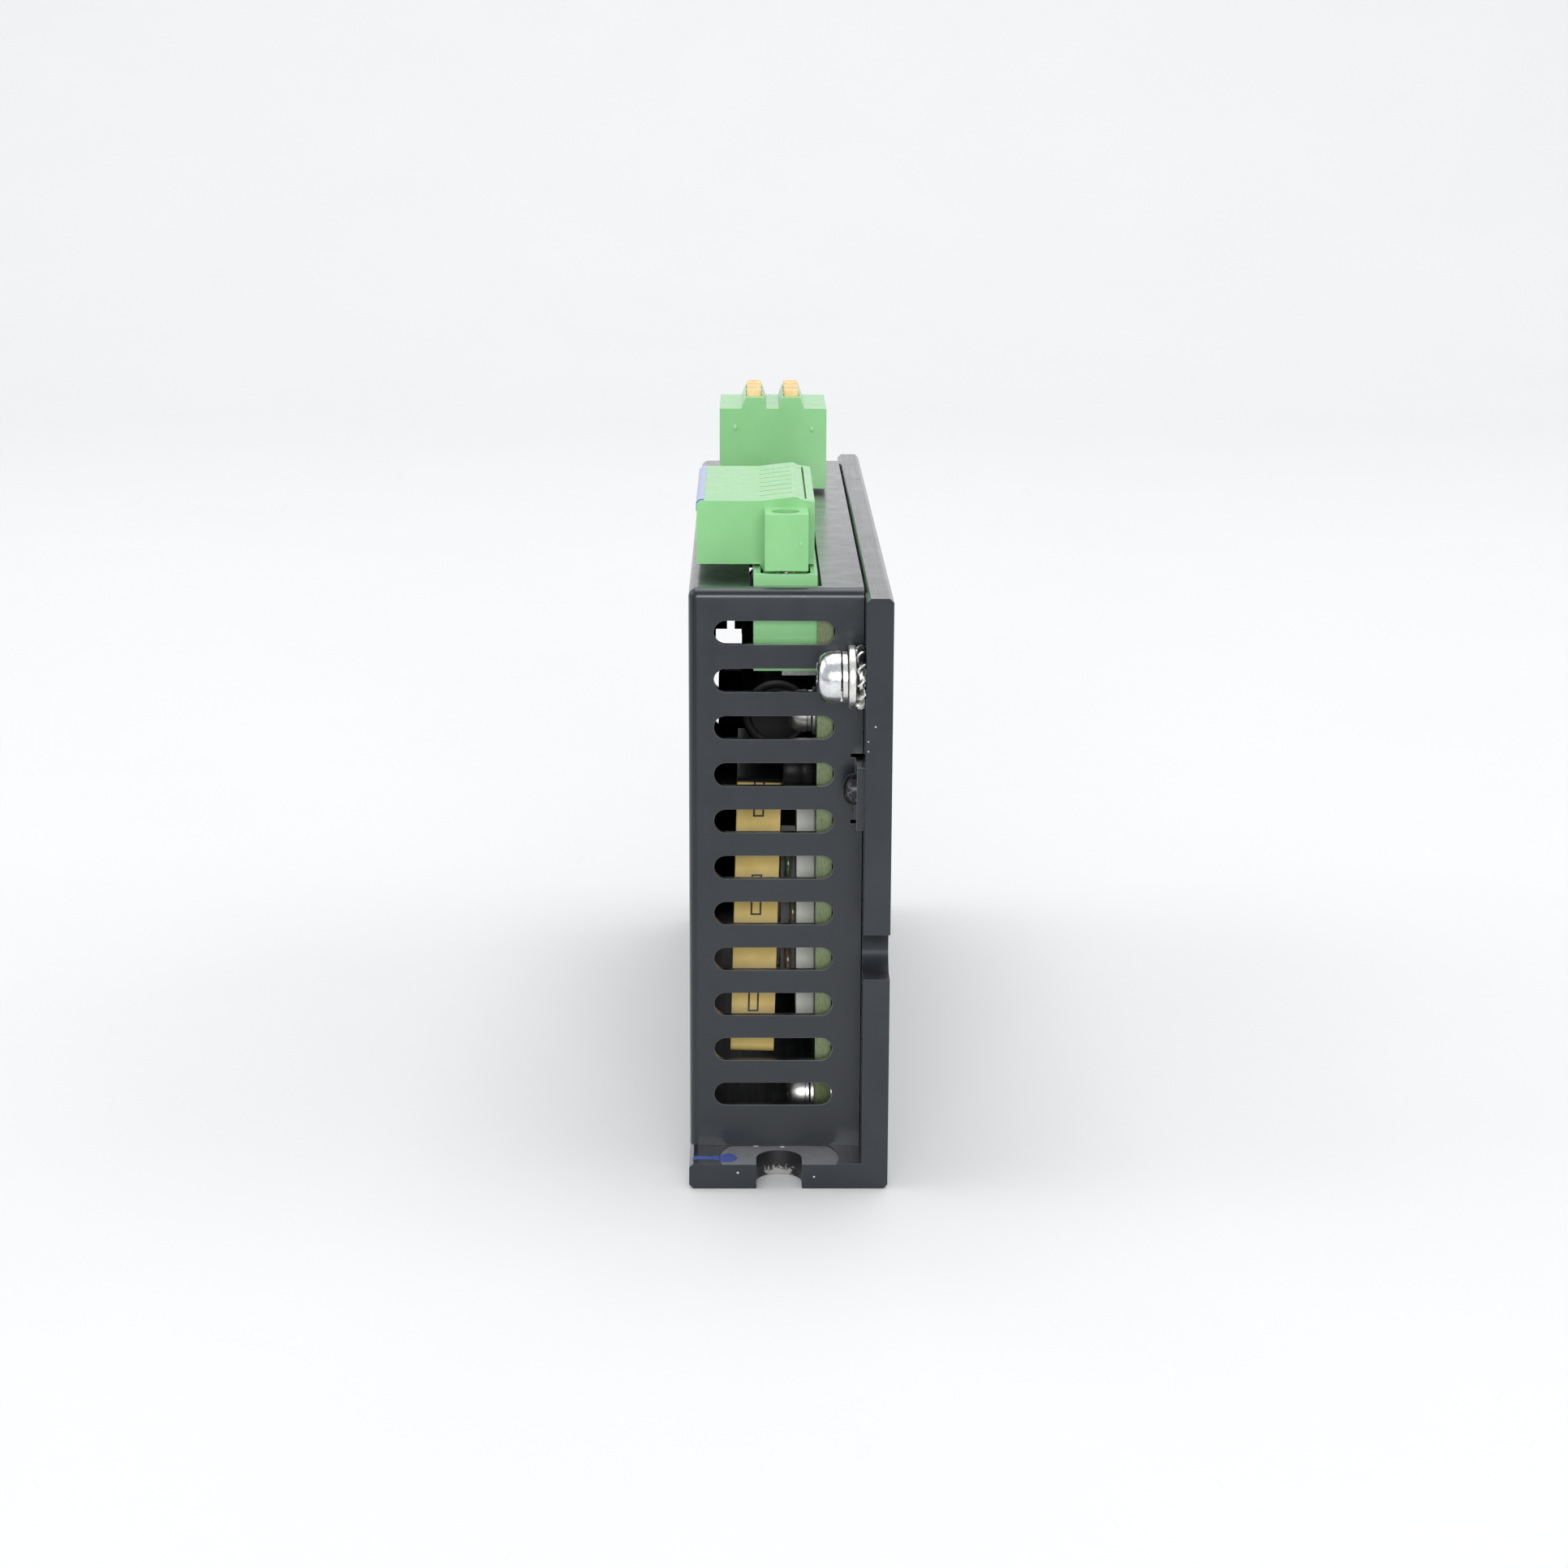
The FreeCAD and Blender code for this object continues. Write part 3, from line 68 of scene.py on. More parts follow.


# --- Table and light ----------------------------------------------------------------------------
# A pale paper sweep, flat under the unit and curved up behind it, turns dark grey well in front:
# painted shade that stands for the unlit room beyond the table, so that the black end has something
# darker to mirror. Soft boxes stand left, right and low in front, and one hangs overhead, in a bright
# room.

class Finish:
    """One surface finish: a shader, and patterns in the piece's own coordinates that vary it."""

    def __init__(self, name, colour, roughness, **sockets):
        self.material = bpy.data.materials.new(name)
        self.material.use_nodes = True
        self.tree = self.material.node_tree
        self.shader = next(n for n in self.tree.nodes if n.type == "BSDF_PRINCIPLED")
        self.shader.inputs["Base Color"].default_value = (*colour, 1.0)
        self.shader.inputs["Roughness"].default_value = roughness
        for socket, value in sockets.items():
            self.shader.inputs[socket.replace("_", " ")].default_value = value
        self.place = self.add("ShaderNodeTexCoord").outputs["Object"]
        self.relief = None

    def add(self, kind, **settings):
        made = self.tree.nodes.new(kind)
        for key, value in settings.items():
            setattr(made, key, value)
        return made

    def feed(self, socket, source):
        """A number is set on the socket; an output is linked to it."""
        if isinstance(source, (int, float, tuple)):
            socket.default_value = source
        else:
            self.tree.links.new(source, socket)

    def stretched(self, x, y, z):
        """The piece's coordinates scaled by three factors, for drawn or brushed grain."""
        node = self.add("ShaderNodeMapping")
        self.feed(node.inputs["Vector"], self.place)
        node.inputs["Scale"].default_value = (x, y, z)
        return node.outputs["Vector"]

    def along(self, axis):
        """One coordinate, in millimetres."""
        split = self.add("ShaderNodeSeparateXYZ")
        self.feed(split.inputs[0], self.place)
        return self.sum("MULTIPLY", split.outputs[axis], 1.0 / MM)

    def noise(self, size, detail=2.0, rough=0.55, place=None):
        """Soft blotches about size millimetres across, from 0 to 1."""
        node = self.add("ShaderNodeTexNoise")
        self.feed(node.inputs["Vector"], place or self.place)
        node.inputs["Scale"].default_value = 1.0 / (size * MM)
        node.inputs["Detail"].default_value = detail
        node.inputs["Roughness"].default_value = rough
        return node.outputs["Fac"]

    def flecks(self, size, share, radius):
        """Round flecks of that radius in a share of cells size millimetres across: 1 inside."""
        node = self.add("ShaderNodeTexVoronoi")
        self.feed(node.inputs["Vector"], self.place)
        node.inputs["Scale"].default_value = 1.0 / (size * MM)
        inside = self.sum("LESS_THAN", node.outputs["Distance"], radius / size)
        return self.sum("MULTIPLY", inside, self.sum("LESS_THAN", node.outputs["Color"], share))

    def knock(self, x, y, z, radius):
        """1 within a radius of one point of the piece, in millimetres, for a single chip or rub."""
        node = self.add("ShaderNodeVectorMath", operation="DISTANCE")
        self.feed(node.inputs[0], self.place)
        node.inputs[1].default_value = (x * MM, y * MM, z * MM)
        return self.sum("LESS_THAN", node.outputs["Value"], radius * MM)

    def sum(self, operation, first, second=0.0, third=0.0):
        """One step of arithmetic."""
        node = self.add("ShaderNodeMath", operation=operation)
        for socket, source in zip(node.inputs, (first, second, third)):
            self.feed(socket, source)
        return node.outputs[0]

    def span(self, source, low, high, start=0.0, end=1.0):
        """Carries source from low..high to start..end, and stops at both ends."""
        node = self.add("ShaderNodeMapRange")
        self.feed(node.inputs["Value"], source)
        for name, value in (("From Min", low), ("From Max", high), ("To Min", start), ("To Max", end)):
            node.inputs[name].default_value = value
        return node.outputs["Result"]

    def mix(self, amount, first, second):
        """Two colours mixed by an amount."""
        node = self.add("ShaderNodeMix", data_type="RGBA")
        self.feed(node.inputs[0], amount)
        for socket, source in zip((node.inputs[6], node.inputs[7]), (first, second)):
            self.feed(socket, (*source, 1.0) if isinstance(source, tuple) else source)
        return node.outputs[2]

    def colour(self, source):
        self.feed(self.shader.inputs["Base Color"], source)

    def roughness(self, source):
        self.feed(self.shader.inputs["Roughness"], source)

    def bump(self, height, depth, strength=1.0):
        """Relief depth millimetres deep, on top of any relief given before."""
        node = self.add("ShaderNodeBump")
        self.feed(node.inputs["Height"], height)
        node.inputs["Distance"].default_value = depth * MM
        node.inputs["Strength"].default_value = strength
        if self.relief is not None:
            self.feed(node.inputs["Normal"], self.relief)
        self.relief = node.outputs["Normal"]
        self.feed(self.shader.inputs["Normal"], self.relief)


def skin(name, sheets, finish, crease=32.0):
    """One piece from grids of points in millimetres, rows by columns by 3. Each cell of a grid is
    a face; points that coincide, along a seam or at a pole, become one; faces point outwards."""
    corners, faces, start = [], [], 0
    for sheet in sheets:
        rows, columns = sheet.shape[:2]
        number = start + np.arange(rows * columns).reshape(rows, columns)
        cells = (number[:-1, :-1], number[1:, :-1], number[1:, 1:], number[:-1, 1:])
        faces.append(np.stack(cells, -1).reshape(-1, 4))
        corners.append(sheet.reshape(-1, 3))
        start += rows * columns
    mesh = bpy.data.meshes.new(name)
    mesh.from_pydata((np.concatenate(corners) * MM).tolist(), [], np.concatenate(faces).tolist())
    work = bmesh.new()
    work.from_mesh(mesh)
    bmesh.ops.remove_doubles(work, verts=work.verts, dist=2e-7)
    bmesh.ops.dissolve_degenerate(work, edges=work.edges, dist=1e-8)
    bmesh.ops.recalc_face_normals(work, faces=work.faces)
    work.to_mesh(mesh)
    work.free()
    mesh.materials.append(finish.material)
    mesh.shade_smooth()
    mesh.set_sharp_from_angle(angle=math.radians(crease))
    piece = bpy.data.objects.new(name, mesh)
    scene.collection.objects.link(piece)
    return piece


def sweep_sheet(half_width, front, turn, radius, top):
    """Straight across; along the other way, flat to turn, a quarter circle, then straight up. It
    lies a hair's breadth under the unit's foot."""
    below = 0.05
    bend = np.linspace(0, math.pi / 2, 40)
    run = np.concatenate([[front], turn + radius * np.sin(bend), [turn + radius]])
    rise = np.concatenate([[0.0], radius * (1 - np.cos(bend)), [top]])
    side = np.linspace(-half_width, half_width, 9)
    return np.stack(np.broadcast_arrays(side[:, None], run[None], rise[None] - below), -1)


paper = Finish("pale_paper", (0.70, 0.70, 0.70), 0.7)
paper_tone = paper.noise(60.0, 3.0)
clean_paper = paper.mix(paper_tone, (0.688, 0.690, 0.692), (0.712, 0.712, 0.712))
# Well in front, the paper's colour turns dark grey: painted shade of the unlit room beyond the table.
painted_shade_in_front = paper.span(paper.along("Y"), -560.0, -190.0)
paper.colour(paper.mix(painted_shade_in_front, (0.17, 0.173, 0.18), clean_paper))
paper.bump(paper.noise(0.8, 2.0), 0.02, 0.3)
table = skin("paper_sweep", [sweep_sheet(2600.0, -2200.0, 700.0, 700.0, 2600.0)], paper)
if table.data.polygons[0].normal.z < 0:
    table.data.flip_normals()

room = bpy.data.worlds.new("room")
room.use_nodes = True
sky = room.node_tree.nodes["Background"]
sky.inputs["Strength"].default_value = 0.62
outward = room.node_tree.nodes.new("ShaderNodeTexCoord")
direction = room.node_tree.nodes.new("ShaderNodeSeparateXYZ")
room.node_tree.links.new(outward.outputs["Generated"], direction.inputs[0])
horizon = room.node_tree.nodes.new("ShaderNodeMapRange")
horizon.inputs["From Min"].default_value = -0.6
horizon.inputs["From Max"].default_value = -0.1
room.node_tree.links.new(direction.outputs["Z"], horizon.inputs["Value"])
both = room.node_tree.nodes.new("ShaderNodeMix")
both.data_type = "RGBA"
both.inputs[6].default_value = (0.09, 0.095, 0.11, 1.0)
both.inputs[7].default_value = (0.95, 0.97, 1.0, 1.0)
room.node_tree.links.new(horizon.outputs["Result"], both.inputs[0])
room.node_tree.links.new(both.outputs[2], sky.inputs["Color"])
scene.world = room


def soft_box(name, place, aim, size, power):
    """A square panel light that faces a point."""
    lamp = bpy.data.lights.new(name, "AREA")
    lamp.shape = "RECTANGLE"
    lamp.size, lamp.size_y = size
    lamp.energy = power
    stand = bpy.data.objects.new(name, lamp)
    stand.location = place
    stand.rotation_euler = (Vector(aim) - Vector(place)).to_track_quat("-Z", "Y").to_euler()
    scene.collection.objects.link(stand)


soft_box("soft_box_left", (-1.1, 0.1, 0.75), (0.0, 0.0, 0.05), (0.9, 0.9), 3.2)
soft_box("soft_box_right", (1.1, 0.1, 0.75), (0.0, 0.0, 0.05), (0.9, 0.9), 3.4)
soft_box("soft_box_above", (0.0, 0.3, 1.5), (0.0, 0.0, 0.0), (1.4, 1.4), 15.0)
soft_box("soft_box_front", (0.0, -1.5, 0.45), (0.0, 0.0, 0.05), (1.0, 0.5), 13.0)


# --- Extruded base ------------------------------------------------------------------------------
# One aluminium extrusion, anodised black: a flange to stand on and an upright plate that carries
# the board. The mounting slots are milled after it, and those in the flange get a shallow bare
# spot face.

def moulding(name, node, finish, edge, edge_wear_and_highlight=None, faces=(), body="case", slot=None):
    """A worked solid as one joined skin, its sharp edges rolled over by a radius of edge. The second
    finish given is that of those rolled edges; the paler edge finishes used for it are a painted edge
    highlight, on the metal parts together with rubbed wear. Faces pairs a finish with a test on a
    face's middle and normal."""
    work = bmesh.new()
    work.from_mesh(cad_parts[node].data)
    bmesh.ops.remove_doubles(work, verts=work.verts, dist=2e-6)
    bmesh.ops.dissolve_limit(work, angle_limit=math.radians(0.6), verts=work.verts, edges=work.edges)
    bmesh.ops.recalc_face_normals(work, faces=work.faces)
    finishes = [finish, edge_wear_and_highlight or finish] + [item for item, _ in faces]
    for face in work.faces:
        face.material_index = 0
        middle = face.calc_center_median() / MM
        for number, (_, test) in enumerate(faces, start=2):
            if test(middle, face.normal):
                face.material_index = number
    mesh = bpy.data.meshes.new(name)
    work.to_mesh(mesh)
    work.free()
    if "custom_normal" in mesh.attributes:
        mesh.attributes.remove(mesh.attributes["custom_normal"])
    for item in finishes:
        mesh.materials.append(item.material)
    crease = math.radians(32.0)
    mesh.shade_smooth()
    mesh.set_sharp_from_angle(angle=crease)
    piece = bpy.data.objects.new(name, mesh)
    scene.collection.objects.link(piece)
    roll = piece.modifiers.new("rolled_edges", "BEVEL")
    roll.width = edge * MM
    roll.segments = 2
    roll.limit_method = "ANGLE"
    roll.angle_limit = crease
    roll.material = 1
    roll.harden_normals = True
    return keep(piece, body, slot, node)


def keep(piece, body, slot, *nodes):
    """Fix a piece to its body and let it stand for its CAD nodes, which are hidden. The slot is not
    used.
    """
    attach(piece, body)
    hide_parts(*nodes)
    return piece


def anodised(name, dark, light, roughness, knocks=()):
    """Black anodising over drawn aluminium: fine lines along the extrusion, faint blotches, a few
    bare flecks, and single chips where it has been knocked. Nearly black when looked at squarely
    and pale grey along the surface."""
    made = Finish(name, dark, roughness, IOR=1.38, Coat_Weight=1.0, Coat_IOR=1.40, Coat_Roughness=0.22)
    made.shader.inputs["Specular Tint"].default_value = (0.80, 0.90, 1.0, 1.0)
    drawn = made.noise(0.5, 3.0, 0.6, made.stretched(1.0, 0.02, 1.0))
    blotch = made.noise(7.0, 3.0)
    chips = made.flecks(5.5, 0.30, 0.08)
    for spot in knocks:
        chips = made.sum("MAXIMUM", chips, made.knock(*spot))
    tone = made.mix(made.span(blotch, 0.35, 0.7), dark, light)
    made.colour(made.mix(chips, tone, (0.42, 0.43, 0.46)))
    dull = made.sum("ADD", drawn, blotch)
    made.roughness(made.span(dull, 0.7, 1.3, roughness - 0.07, roughness + 0.1))
    made.bump(drawn, 0.0006, 0.25)
    made.bump(made.noise(0.25, 2.0), 0.0006, 0.2)
    return made


def matt_inside(made):
    """Takes the shine off what lies inside the case: between its two ends, as far as the upright
    plate's inner face and down to the flange's top."""
    case_end, plate_face, flange_top = 57.4, 9.3, 3.1
    between = made.sum("LESS_THAN", made.sum("ABSOLUTE", made.along("Y")), case_end)
    beside = made.sum("LESS_THAN", made.along("X"), plate_face)
    over = made.sum("GREATER_THAN", made.along("Z"), flange_top)
    inside = made.sum("MULTIPLY", between, made.sum("MULTIPLY", beside, over))
    made.feed(made.shader.inputs["Coat Weight"], made.span(inside, 0.0, 1.0, 1.0, 0.0))
    made.feed(made.shader.inputs["Specular IOR Level"], made.span(inside, 0.0, 1.0, 0.5, 0.12))


base_knocks = [(-6.4, -64.65, 2.1, 0.15), (3.25, -64.65, 1.55, 0.13), (10.44, -64.65, 59.9, 0.12),
               (9.57, -64.65, 58.05, 0.10), (9.58, -64.65, 56.8, 0.10)]
base_black = anodised("base_anodised", (0.0035, 0.0048, 0.0075), (0.0075, 0.0090, 0.0125), 0.38,
                      base_knocks)
matt_inside(base_black)
# The rolled edges of the base are paler than its faces: partly rubbed wear, partly a painted edge
# highlight.
base_edge = anodised("base_edges_rubbed_highlit", (0.018, 0.020, 0.025), (0.065, 0.068, 0.078), 0.36)
spot_bare = Finish("spot_face_bare", (0.19, 0.20, 0.21), 0.38)
milled = spot_bare.noise(0.35, 3.0, 0.6)
worked = spot_bare.noise(2.2, 2.0)
# The pale flecks and the two pale spots on the bare spot face are painted glints of the milled metal;
# the grey tone under them is the bare metal's own.
bright = spot_bare.flecks(1.8, 0.25, 0.14)
for spot in ((-4.1, -57.9, 3.18, 0.35), (-0.7, -58.2, 3.18, 0.3)):
    bright = spot_bare.sum("MAXIMUM", bright, spot_bare.knock(*spot))
spot_tone = spot_bare.mix(worked, (0.12, 0.125, 0.135), (0.23, 0.235, 0.245))
spot_bare.colour(spot_bare.mix(bright, spot_tone, (0.70, 0.70, 0.70)))
spot_bare.roughness(spot_bare.span(milled, 0.3, 0.7, 0.34, 0.55))
spot_bare.bump(milled, 0.02, 0.5)
slot_middle = -1.17
side_slot_height = 30.5
slot_half = 2.9
# Slot end walls: near black, with a pale grey patch low down near the slot's middle. It is partly the
# bare metal where the slot was cut and partly a painted highlight where that wall catches the light.
slot_wall = Finish("slot_wall", (0.02, 0.02, 0.022), 0.4, Metallic=0.2)
depth = slot_wall.along("Z")
wall_grain = slot_wall.noise(0.4, 3.0)
ragged = slot_wall.span(wall_grain, 0.3, 0.7, -0.5, 0.5)
lit_patch_low = slot_wall.span(slot_wall.sum("ADD", depth, ragged), 0.6, 1.0, 1.0, 0.0)
from_middle = slot_wall.sum("ABSOLUTE", slot_wall.sum("SUBTRACT", slot_wall.along("X"), slot_middle))
lit_patch_middle = slot_wall.span(slot_wall.sum("ADD", from_middle, ragged), 1.4, 1.9, 1.0, 0.0)
bare_and_lit_patch = slot_wall.sum("MULTIPLY", lit_patch_low, lit_patch_middle)
slot_wall.colour(slot_wall.mix(bare_and_lit_patch, (0.016, 0.016, 0.018), (0.34, 0.34, 0.32)))
slot_wall.bump(wall_grain, 0.03, 0.6)


def is_spot_face(middle, normal):
    return normal.z > 0.9 and 3.0 < middle.z < 3.27


def is_slot_wall(middle, normal):
    inner = 59.0 < abs(middle.y) < 64.6
    lower = abs(normal.z) < 0.3 and middle.z < 3.25 and abs(middle.x - slot_middle) < slot_half
    return inner and lower


def is_side_slot_wall(middle, normal):
    return abs(middle.y) > 59.0 and abs(normal.x) < 0.3 and abs(middle.z - side_slot_height) < slot_half


slot_dull = anodised("side_slot_wall", (0.010, 0.011, 0.013), (0.030, 0.031, 0.034), 0.6)
slot_dull.shader.inputs["Coat Weight"].default_value = 0.2
moulding("extruded_base", "base_plate", base_black, 0.16, base_edge,
         [(spot_bare, is_spot_face), (slot_wall, is_slot_wall), (slot_dull, is_side_slot_wall)],
         slot="black_anodised")


# --- Inspection stroke --------------------------------------------------------------------------
# A quick stroke of blue marker ink across the near spot face, put on when the unit was passed.
# It is only a film of dried ink, wider where the pen was pressed down.

def ink_film(start, end, middle_y, height):
    """Along the stroke the half width is even, grows to a round blob and closes again; across it
    the film is flat. The height follows the surface under it."""
    u = np.linspace(0, 1, 60)
    swell = np.clip((u - 0.48) / 0.30, 0, 1)
    half = 0.58 + 1.0 * swell ** 2 * (3 - 2 * swell)
    half = half * np.sqrt(np.clip(1 - ((u - 0.78).clip(0) / 0.22) ** 2, 0, 1))
    half[0] = 0.25
    across_film = np.linspace(-1, 1, 25)
    x = start + (end - start) * u[:, None] + 0 * across_film[None]
    wander = 0.35 * u + 0.10 * np.sin(u * 9.0)
    y = middle_y + wander[:, None] + half[:, None] * across_film[None]
    return np.stack([x, y, height(x, y)], -1)


def flange_height(x, y):
    """The spot face is a step down inside its circle; the flange's long edge is chamfered."""
    slot_end, spot_radius, chamfer_start, film_lift = -62.28, 7.6, -12.05, 0.012
    level = np.where(np.hypot(x - slot_middle, y - slot_end) < spot_radius, 3.18, 3.30)
    return level - np.clip(chamfer_start - x, 0, None) + film_lift


ink = Finish("blue_ink", (0.045, 0.075, 0.30), 0.42)
ink_tone = ink.noise(0.7, 3.0)
ink.colour(ink.mix(ink_tone, (0.022, 0.045, 0.22), (0.075, 0.115, 0.40)))
ink.bump(ink_tone, 0.01, 0.4)
stroke = skin("inspection_stroke", [ink_film(-12.25, -6.5, -62.6, flange_height)], ink)
film = stroke.modifiers.new("film", "SOLIDIFY")
film.thickness = 0.01 * MM
film.offset = 0.0
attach(stroke, "case")


# --- Cover --------------------------------------------------------------------------------------
# One sheet of 1 mm steel, slotted, bent and painted satin black. Its tabs lie against the upright
# plate, and two windows in the top let the connectors through.

def painted(name, dark, light, roughness):
    """Satin paint: a fine orange-peel skin, soft changes of tone and a few pin-head flecks."""
    made = Finish(name, dark, roughness, IOR=1.38, Coat_Weight=1.0, Coat_IOR=1.40, Coat_Roughness=0.22)
    made.shader.inputs["Specular Tint"].default_value = (0.80, 0.90, 1.0, 1.0)
    cloud = made.noise(16.0, 3.0)
    peel = made.noise(0.38, 2.0, 0.5)
    pins = made.flecks(4.6, 0.30, 0.06)
    tone = made.mix(made.span(cloud, 0.35, 0.7), dark, light)
    made.colour(made.mix(pins, tone, (0.30, 0.31, 0.33)))
    made.roughness(made.span(made.noise(2.5, 4.0), 0.35, 0.7, roughness - 0.06, roughness + 0.08))
    made.bump(peel, 0.0006, 0.3)
    return made


cover_black = painted("cover_paint", (0.0035, 0.0048, 0.0072), (0.0068, 0.0082, 0.0108), 0.36)
# The rolled edges of the cover are much paler than its faces: partly rubbed paint, partly a painted
# edge highlight.
cover_edge = painted("cover_edges_rubbed_highlit", (0.045, 0.048, 0.052), (0.22, 0.225, 0.235), 0.34)
cover_inside = Finish("cover_inside_primer", (0.004, 0.004, 0.005), 0.75, Specular_IOR_Level=0.1)
primer_grain = cover_inside.noise(0.6, 3.0)
cover_inside.colour(cover_inside.mix(primer_grain, (0.003, 0.003, 0.004), (0.007, 0.007, 0.008)))
cover_inside.bump(primer_grain, 0.01, 0.4)


def is_cover_inside(middle, normal):
    return middle.x > -11.6 and abs(middle.y) < 57.05 and middle.z < 74.85


moulding("sheet_cover", "cover", cover_black, 0.11, cover_edge, [(cover_inside, is_cover_inside)],
         slot="black_paint")


def pan_head(centre, seat, radius, height, turn=0.0, full=3.0):
    """A screw head that faces -X. Height over radius is a flat-topped dome that ends upright at
    the rim, squarer the higher full is; a cross is sunk in it, deepest in the middle."""
    inner = np.linspace(0, 0.6, 24)
    outer = 1 - 0.4 * (1 - np.linspace(0, 1, 16)[1:]) ** 2
    r = np.concatenate([inner, outer])
    rise = (1 - r ** full) ** (1 / 2.6)
    rise[-1] = 0.0
    turned = np.linspace(0, 2 * math.pi, 97)
    first = r[:, None] * np.cos(turned - turn)
    second = r[:, None] * np.sin(turned - turn)
    arm, recess = 0.13, 0.52

    def bar(a, b):
        wall = np.clip((arm - np.abs(b)) / 0.05 + 0.5, 0, 1)
        end = np.clip((recess - np.abs(a)) / 0.08 + 0.5, 0, 1)
        return wall * end

    sunk = np.maximum(bar(first, second), bar(second, first))
    depth = 0.62 * sunk * (1 - 0.65 * r[:, None] / recess).clip(0.3, 1)
    top = seat - height * (rise[:, None] - depth)
    y = centre[0] + radius * r[:, None] * np.cos(turned)
    z = centre[1] + radius * r[:, None] * np.sin(turned)
    head = np.stack([top, y, z], -1)
    rim = np.stack([np.full_like(y[-1:], seat), y[-1:], z[-1:]], -1)
    hub = np.stack([np.full_like(y[:1], seat), y[:1], z[:1]], -1)
    return np.concatenate([head, rim, hub])


def set_along(axis, run, one, two):
    """Points whose run lies along an axis, and whose other two places follow in order."""
    order = {"x": (run, one, two), "y": (one, run, two), "z": (one, two, run)}[axis]
    return np.stack(order, -1)


def turned_piece(axis, centre, profile, steps=64):
    """A profile of (place along the axis, radius) pairs carried once round the axis."""
    place, radius = np.array(profile, float).T
    angle = np.linspace(0, 2 * math.pi, steps + 1)
    one = centre[0] + radius[:, None] * np.cos(angle)
    two = centre[1] + radius[:, None] * np.sin(angle)
    return set_along(axis, np.broadcast_to(place[:, None], one.shape), one, two)


def threaded(axis, centre, start, end, radius, pitch, steps=48):
    """A screw shank: the radius rises and falls by the thread depth once a pitch, and the ridge
    climbs by one pitch for each turn."""
    run = np.arange(0.0, abs(end - start) + 1e-6, pitch / 6)
    angle = np.linspace(0, 2 * math.pi, steps + 1)
    phase = run[:, None] / pitch + angle[None] / (2 * math.pi)
    ridge = np.abs((phase % 1.0) * 2 - 1)
    r = radius * (1 - 0.13 * ridge)
    r = np.concatenate([np.zeros_like(r[:1]), r, np.zeros_like(r[:1])])
    run = np.concatenate([run[:1], run, run[-1:]]) * np.sign(end - start) + start
    one = centre[0] + r * np.cos(angle)
    two = centre[1] + r * np.sin(angle)
    return set_along(axis, np.broadcast_to(run[:, None], one.shape), one, two)


black_screw = Finish("black_screw", (0.02, 0.02, 0.022), 0.22, Metallic=0.6)
black_wear = black_screw.noise(0.6, 4.0)
worn_through = black_screw.span(black_wear, 0.55, 0.75)
black_screw.colour(black_screw.mix(worn_through, (0.02, 0.02, 0.022), (0.16, 0.16, 0.17)))
black_screw.roughness(black_screw.span(black_wear, 0.3, 0.7, 0.18, 0.34))
black_screw.bump(black_wear, 0.02, 0.4)
tab_face = 8.25
tab_screws = []
for place in ((-61.05, 51.2), (61.05, 51.2)):
    tab_screws.append(pan_head(place, tab_face, 1.95, 1.6, turn=0.5))
    tab_screws.append(threaded("x", place, tab_face, 12.05, 1.2, 0.5))
keep(skin("tab_screws", tab_screws, black_screw), "case", "black_screw", "cover_screws")


# --- Ground stud --------------------------------------------------------------------------------
# A bright zinc pan-head screw in the upright plate, over a split spring washer, a flat washer and
# a star washer whose twisted teeth bite through the anodising to make the earth contact.

def zinc(name, tint, roughness):
    """Bright zinc: clear metal, softly mottled, with fine scratches."""
    made = Finish(name, tint, roughness, Metallic=1.0)
    mottle = made.noise(0.9, 3.0)
    scratch = made.noise(0.18, 3.0, 0.7, made.stretched(1.0, 0.25, 1.0))
    dim = tuple(0.72 * part for part in tint)
    made.colour(made.mix(made.span(mottle, 0.3, 0.75), tint, dim))
    made.roughness(made.span(scratch, 0.3, 0.7, roughness - 0.06, roughness + 0.12))
    made.bump(scratch, 0.008, 0.4)
    return made


def washer(centre, low, high, outer, inner, edge=0.14):
    """A flat ring whose outer and inner edges are broken by a small radius."""
    profile = [(low, inner + edge), (low, outer - edge), (low + edge * 0.3, outer - edge * 0.3),
               (low + edge, outer), (high - edge, outer), (high - edge * 0.3, outer - edge * 0.3),
               (high, outer - edge), (high, inner + edge), (high - edge * 0.3, inner + edge * 0.3),
               (high - edge, inner), (low + edge, inner), (low + edge * 0.3, inner + edge * 0.3),
               (low, inner + edge)]
    return turned_piece("x", centre, profile, 96)


def split_washer(centre, low, high, outer, inner, gap_at, gap):
    """A rectangular section with broken corners, carried nearly once round a shallow helix, so
    the two cut ends stand apart along the axis. The ends are closed by drawing to their middle."""
    rise = 0.12 * (high - low)
    half = (high - low - 2 * rise) / 2
    wide = (outer - inner) / 2
    across_ring = np.array([-1, -0.86, 0.86, 1, 1, 0.86, -0.86, -1, -1]) * wide
    along_axis = np.array([-0.8, -1, -1, -0.8, 0.8, 1, 1, 0.8, -0.8]) * half
    t = np.concatenate([[0.0], np.linspace(0, 1, 73), [1.0]])
    grow = np.ones_like(t)
    grow[[0, -1]] = 0.0
    angle = gap_at + gap / outer + t * (2 * math.pi - 2 * gap / outer)
    r = (outer + inner) / 2 + grow[:, None] * across_ring
    x = (low + high) / 2 + (2 * t - 1)[:, None] * rise + grow[:, None] * along_axis
    y = centre[0] + r * np.cos(angle)[:, None]
    z = centre[1] + r * np.sin(angle)[:, None]
    return np.stack([x, y, z], -1)


